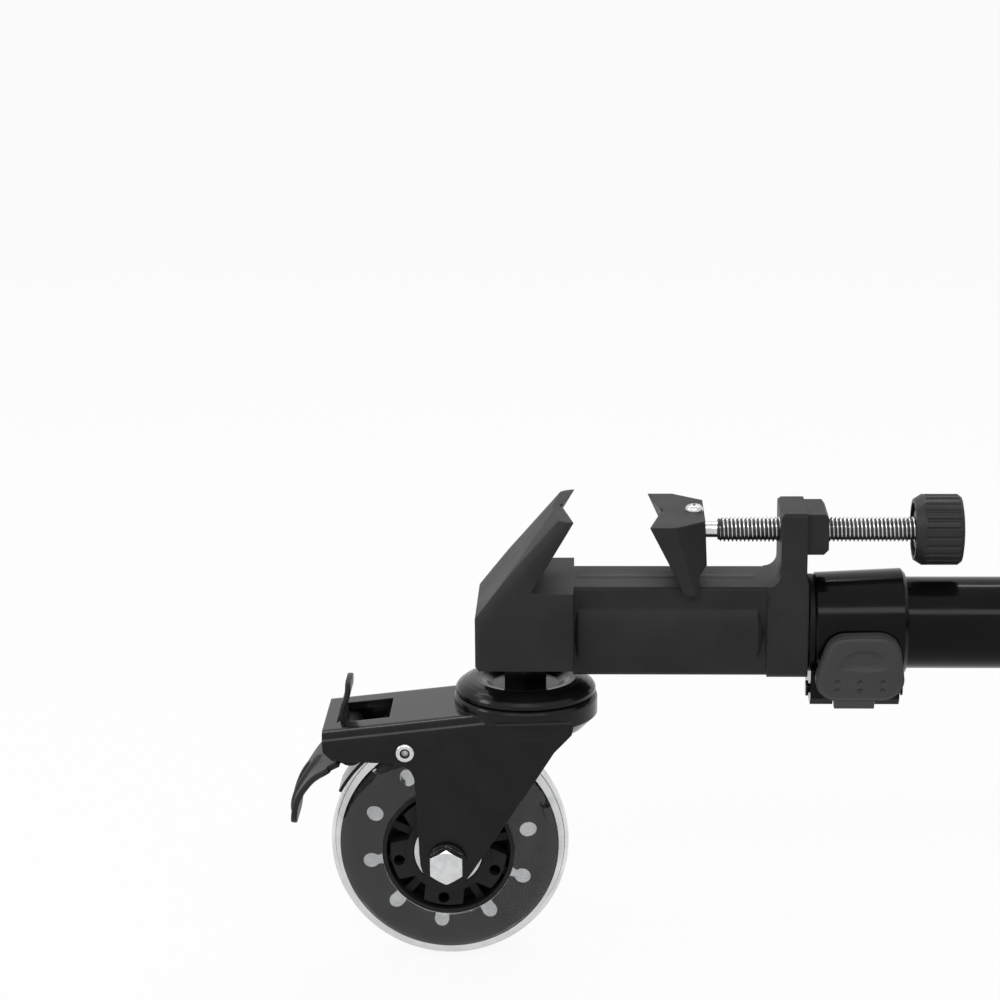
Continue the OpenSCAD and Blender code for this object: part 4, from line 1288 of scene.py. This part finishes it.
@dataclass(frozen=True)
class Rivets(CasterPart):
    """Bright hollow rivets that hold the brake leaf. Heights and depths are from the fork's face."""

    name = "tube_rivets"
    body = "fork"
    slot = Slot.ZINC

    x: float = -37.1
    z: float = -36.5
    flange_r: float = 2.96
    flange_height: float = 0.01
    roll_ring_r: float = 2.0
    roll_half: Flat = (0.96, 0.78)
    roll_height: float = 0.5
    roll_step: float = 15.0
    roll_steps: int = 8
    lip_r: float = 1.3
    lip_height: float = 0.85
    bore_r: float = 1.05
    bore_height: float = 0.4
    bore_depth: float = 1.42
    tip_r: float = 0.45
    tip_depth: float = 1.1
    under_r: float = 1.15
    around: int = 64

    def shape(self) -> Shape:
        """Draw a rolled head and its under face on each side of the fork.

        Returns:
            The shape.
        """
        wide, high = self.roll_half
        roll = [(self.roll_ring_r + wide * math.cos(a), self.roll_height + high * math.sin(a))
                for a in (math.radians(self.roll_step * i) for i in range(self.roll_steps + 1))]
        head = [(self.flange_r, self.flange_height), *roll, (self.lip_r, self.lip_height),
                (self.bore_r, self.bore_height), (self.bore_r, -self.bore_depth),
                (self.tip_r, -self.bore_depth), (0.0, -self.tip_depth)]
        under = [(self.flange_r, self.flange_height), (self.under_r, self.flange_height)]
        shape = Shape()
        for side in (-1, 1):
            for profile in (head, under):
                outward = [(r, side * (self.fork_half + height)) for r, height in profile]
                shape.turned(outward, self.around, (self.x, 0, self.z))
        return shape


@dataclass(frozen=True)
class Pedal(LegPart):
    """Brake rocker: wide curved foot plate with a pressed loop, release tab, cam, and the pin through it.

    Places along the plate and the tab are shares of their length, from root to tip.
    """

    name = "foot_pedal"
    body = "brake"
    slot = Slot.ENAMEL
    finish = Detail.PEDAL
    second = Slot.ZINC
    stands_for = "brake_pedal"

    pin_x: float = -56.0
    pin_z: float = -36.4
    pin_r: float = 1.8
    pin_half: float = 18.3
    hub_r: float = 3.3
    hub_half: float = 13.0
    cam_x: float = -55.4
    cam_z: float = -41.3
    cam_r: float = 4.2
    cam_half: float = 7.0
    web_inset: float = 0.3
    web_half: float = 6.8
    margin: float = 0.05
    ear_foot: Sequence[Flat] = ((-54.8, -41.4), (-61.6, -44.0), (-60.6, -41.8))
    ear_span: Flat = (11.4, 12.8)
    plate_t: float = 1.9
    plate_half_w: float = 18.6
    root_half_w: float = 16.9
    root_share: float = 0.13
    tip_half_w: float = 10.0
    taper_from: float = 0.2
    tip_corner: float = 0.12
    tip_round: float = 3.5
    loop_share: float = 0.62
    loop_half_share: float = 0.27
    loop_half_w: float = 5.5
    loop_height: float = 1.0
    ridge_half: float = 0.3
    dish_reach: float = 0.75
    dish_depth: float = 0.8
    tab_t: float = 1.7
    tab_half_w: float = 7.3
    tab_corner: float = 0.2
    tab_round: float = 3.0
    plate_steps: int = 14
    tab_steps: int = 6
    hub_around: int = 40
    pin_around: int = 32
    plate_path: Sequence[Flat] = (
        (-58.4, -41.6), (-62.2, -43.6), (-66.0, -46.4), (-68.7, -49.7), (-71.2, -53.8), (-72.9, -58.8),
        (-73.6, -64.4))
    tab_path: Sequence[Flat] = (
        (-56.8, -34.4), (-57.5, -31.4), (-57.6, -28.2), (-57.3, -26.4), (-56.2, -23.4), (-55.8, -21.6),
        (-55.7, -18.4))

    def plate_width(self, share: float) -> float:
        """Half of the plate's width: stepped in between the fork's sides, and drawn in to its rounded tip.

        Args:
            share: Place along the plate.

        Returns:
            Half of the width.
        """
        if share < self.root_share:
            return self.root_half_w
        drawn = clamp((share - self.taper_from) / (1 - self.taper_from))
        width = self.plate_half_w - (self.plate_half_w - self.tip_half_w) * drawn
        return width - self.tip_round * round_off(share, self.tip_corner)

    def tab_width(self, share: float) -> float:
        """Half of the tab's width, rounded at its top."""
        return self.tab_half_w - self.tab_round * round_off(share, self.tab_corner)

    def loop(self, share: float, y: float) -> float:
        """Height of the pressed loop over the plate: a ridge round a shallow dish.

        Args:
            share: Place along the plate.
            y: Place across it.

        Returns:
            The height.
        """
        out = math.hypot((share - self.loop_share) / self.loop_half_share, y / self.loop_half_w)
        ridge = self.loop_height * arch((out - 1) / self.ridge_half)
        return ridge - self.dish_depth * arch(out / self.dish_reach)

    def shape(self) -> Shape:
        """Draw the plate, tab, hub, cam, web, ears and pin.

        Returns:
            The shape.
        """
        pin = (self.pin_x, 0, self.pin_z)
        neck = [(self.pin_x - self.hub_r, self.pin_z), (self.pin_x + self.hub_r, self.pin_z)]
        web_foot = self.cam_r - self.web_inset
        plate = smooth_path(self.plate_path, self.plate_steps)
        tab = smooth_path(self.tab_path, self.tab_steps)
        shape = Shape().sheet(plate, self.plate_width, self.plate_t, self.loop)
        shape.sheet(tab, self.tab_width, self.tab_t, lambda share, y: 0.0)
        shape.roller(self.hub_r, self.hub_half, pin, self.hub_around, self.pin_r)
        shape.roller(self.cam_r, self.cam_half, (self.cam_x, 0, self.cam_z), self.hub_around)
        shape.prism([*neck, (self.cam_x + web_foot, self.cam_z), (self.cam_x - web_foot, self.cam_z)],
                    -self.web_half, self.web_half)
        for side in (-1, 1):
            shape.prism([*neck, *self.ear_foot], side * self.ear_span[0], side * self.ear_span[1])
        return shape.roller(self.pin_r, self.pin_half, pin, self.pin_around)

    def has_second(self, point: Point) -> bool:
        """Whether a face belongs to the pin."""
        return math.hypot(point[0] - self.pin_x, point[2] - self.pin_z) < self.pin_r + self.margin


@dataclass(frozen=True)
class CollarSleeve(LegPart):
    """Rim of the dark sleeve that shows at the lock collar's mouth."""

    name = "collar_sleeve"
    body = "leg"
    slot = Slot.PLASTIC
    finish = Detail.SLEEVE

    x0: float = 87.75
    x1: float = 89.5
    outer_r: float = 15.2
    bore_r: float = 13.1
    soft: float = 0.3
    around: int = 120

    def rides_on(self, leg: int) -> str:
        """Name of the body that the sleeve moves with: the first leg is fixed to the hub."""
        return "hub" if leg == 1 else super().rides_on(leg)

    def shape(self) -> Shape:
        """Draw the rim, softened at its mouth.

        Returns:
            The shape.
        """
        profile = [(self.bore_r, self.x0 + self.soft), (self.bore_r + self.soft, self.x0),
                   (self.outer_r - self.soft, self.x0), (self.outer_r, self.x0 + self.soft),
                   (self.outer_r, self.x1), (self.bore_r, self.x1)]
        return Shape().turned(profile, self.around, closed=True, axis=Axis.X)


# Studio


@dataclass(frozen=True)
class PaleFloor:
    """Matt pale floor that shows plain where it is the background, and keeps the shadows."""

    dark: Point = (0.84, 0.84, 0.84)
    light: Point = (0.88, 0.88, 0.88)
    rough: Flat = (0.7, 0.9)
    cloud_size: float = 400.0
    grain_size: float = 3.0
    grain_depth: float = 0.05
    specular: float = 0.2
    plain_share: float = 0.93

    def make(self, name: str) -> bpy.types.Material:
        """Build the material.

        Args:
            name: Name of the material.

        Returns:
            The material.
        """
        recipe = Recipe(name)
        grain = recipe.noise(self.grain_size)
        recipe.feed(recipe.shader, {
            "Base Color": recipe.blend(recipe.noise(self.cloud_size), self.dark, self.light),
            "Roughness": recipe.levels(grain, self.rough), "Normal": recipe.relief(grain, self.grain_depth),
            "Specular IOR Level": self.specular})
        glow = recipe.add("ShaderNodeEmission", {"Color": WHITE, "Strength": 1.0})
        share = recipe.maths("MULTIPLY", recipe.background_mask(), self.plain_share)
        surface = recipe.cover(share, recipe.shader.outputs[0], glow.outputs[0])
        recipe.feed(recipe.output, {"Surface": surface})
        return recipe.material


@dataclass(frozen=True)
class Lamp:
    """Soft rectangular lamp, in metres and watts."""

    name: str
    place: Point
    aim: Point
    size: Flat
    watts: float

    def hang(self) -> None:
        """Hang the lamp so that it faces its aim."""
        data = bpy.data.lights.new(self.name, "AREA")
        data.shape = "RECTANGLE"
        data.size, data.size_y = self.size
        data.energy = self.watts
        lamp = bpy.data.objects.new(self.name, data)
        lamp.location = self.place
        lamp.rotation_euler = (Vector(self.aim) - Vector(self.place)).to_track_quat("-Z", "Y").to_euler()
        lamp.visible_transmission = False
        bpy.context.scene.collection.objects.link(lamp)


@dataclass(frozen=True)
class PhotoCamera:
    """Camera at the photo's angle, in metres and degrees, with its lens and sensor in millimetres."""

    aim: Flat = (-0.4276, 0.0)
    reach: float = 0.8332
    height: float = 0.2337
    turn: float = 2.0
    pitch: float = 14.4
    roll: float = -0.5
    lens: float = 99.9
    sensor: float = 36.0
    clip: Flat = (0.01, 50.0)

    def set_up(self) -> None:
        """Put the camera in its place and look through it."""
        data = bpy.data.cameras.new("camera")
        data.lens = self.lens
        data.sensor_width = self.sensor
        data.clip_start, data.clip_end = self.clip
        camera = bpy.data.objects.new("camera", data)
        turn = math.radians(self.turn)
        camera.location = (self.aim[0] + self.reach * math.sin(turn),
                           self.aim[1] - self.reach * math.cos(turn), self.height)
        look = Matrix.Rotation(turn, 4, "Z") @ Matrix.Rotation(math.radians(90.0 - self.pitch), 4, "X")
        camera.rotation_euler = (look @ Matrix.Rotation(math.radians(self.roll), 4, "Z")).to_euler()
        bpy.context.scene.collection.objects.link(camera)
        bpy.context.scene.camera = camera


@dataclass(frozen=True)
class Studio:
    """Pale floor, soft lamps, white surround and the camera."""

    world_level: float = 0.4
    floor_half: float = 6.0
    floor_finish: PaleFloor = PaleFloor()
    camera: PhotoCamera = PhotoCamera()
    lamps: Sequence[Lamp] = (
        Lamp("back_strip", (-0.4, 0.62, 1.0), (-0.42, 0.0, 0.0), (1.6, 0.12), 6.0),
        Lamp("front_strip", (-0.42, -0.8, 0.72), (-0.42, 0.0, -0.02), (1.2, 0.22), 4.5),
        Lamp("left_card", (-1.3, -0.2, 0.5), (-0.45, 0.0, 0.0), (0.3, 0.3), 2.5))

    def surround(self) -> None:
        """Light the world evenly, and show it white where it is seen."""
        world = bpy.data.worlds.new("studio_surround")
        bpy.context.scene.world = world
        world.use_nodes = True
        tree = NodeTree(world.node_tree)
        lit = tree.add("ShaderNodeBackground", {"Color": WHITE, "Strength": self.world_level})
        seen = tree.add("ShaderNodeBackground", {"Color": WHITE, "Strength": 1.0})
        surface = tree.cover(tree.background_mask(), lit.outputs[0], seen.outputs[0])
        tree.add("ShaderNodeOutputWorld", {"Surface": surface})

    def floor(self, height: float) -> None:
        """Lay the floor.

        Args:
            height: Its level, in metres.
        """
        mesh = bpy.data.meshes.new("floor")
        sides = ((-1, -1), (1, -1), (1, 1), (-1, 1))
        corners = [(x * self.floor_half, y * self.floor_half, height) for x, y in sides]
        mesh.from_pydata(corners, [], [(0, 1, 2, 3)])
        mesh.materials.append(self.floor_finish.make("pale_floor"))
        floor = bpy.data.objects.new("floor", mesh)
        bpy.context.scene.collection.objects.link(floor)
        floor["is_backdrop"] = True

    def build(self, floor_height: float) -> None:
        """Build the whole studio.

        Args:
            floor_height: Level of the floor, in metres.
        """
        bpy.context.scene.view_settings.view_transform = "Standard"
        self.surround()
        self.floor(floor_height)
        for lamp in self.lamps:
            lamp.hang()
        self.camera.set_up()


def main() -> None:
    """Dress the CAD parts, build the pieces of each leg, and set the studio."""
    logging.basicConfig(level=logging.INFO, format="%(message)s")
    cad_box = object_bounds()
    rack = FinishRack()
    LOG.info("dressed %d material slots", rack.dress_nodes(frame["nodes"]))
    parts = (ClampScrew(), Tyre(), LeverPad(), AxleSet(), JawScrew(), Rivets(), Pedal(), CollarSleeve())
    for leg in LEG_TURNS:
        for part in parts:
            part.build(leg, rack)
    Studio().build(cad_box[0][2])


if __name__ == "__main__":
    main()
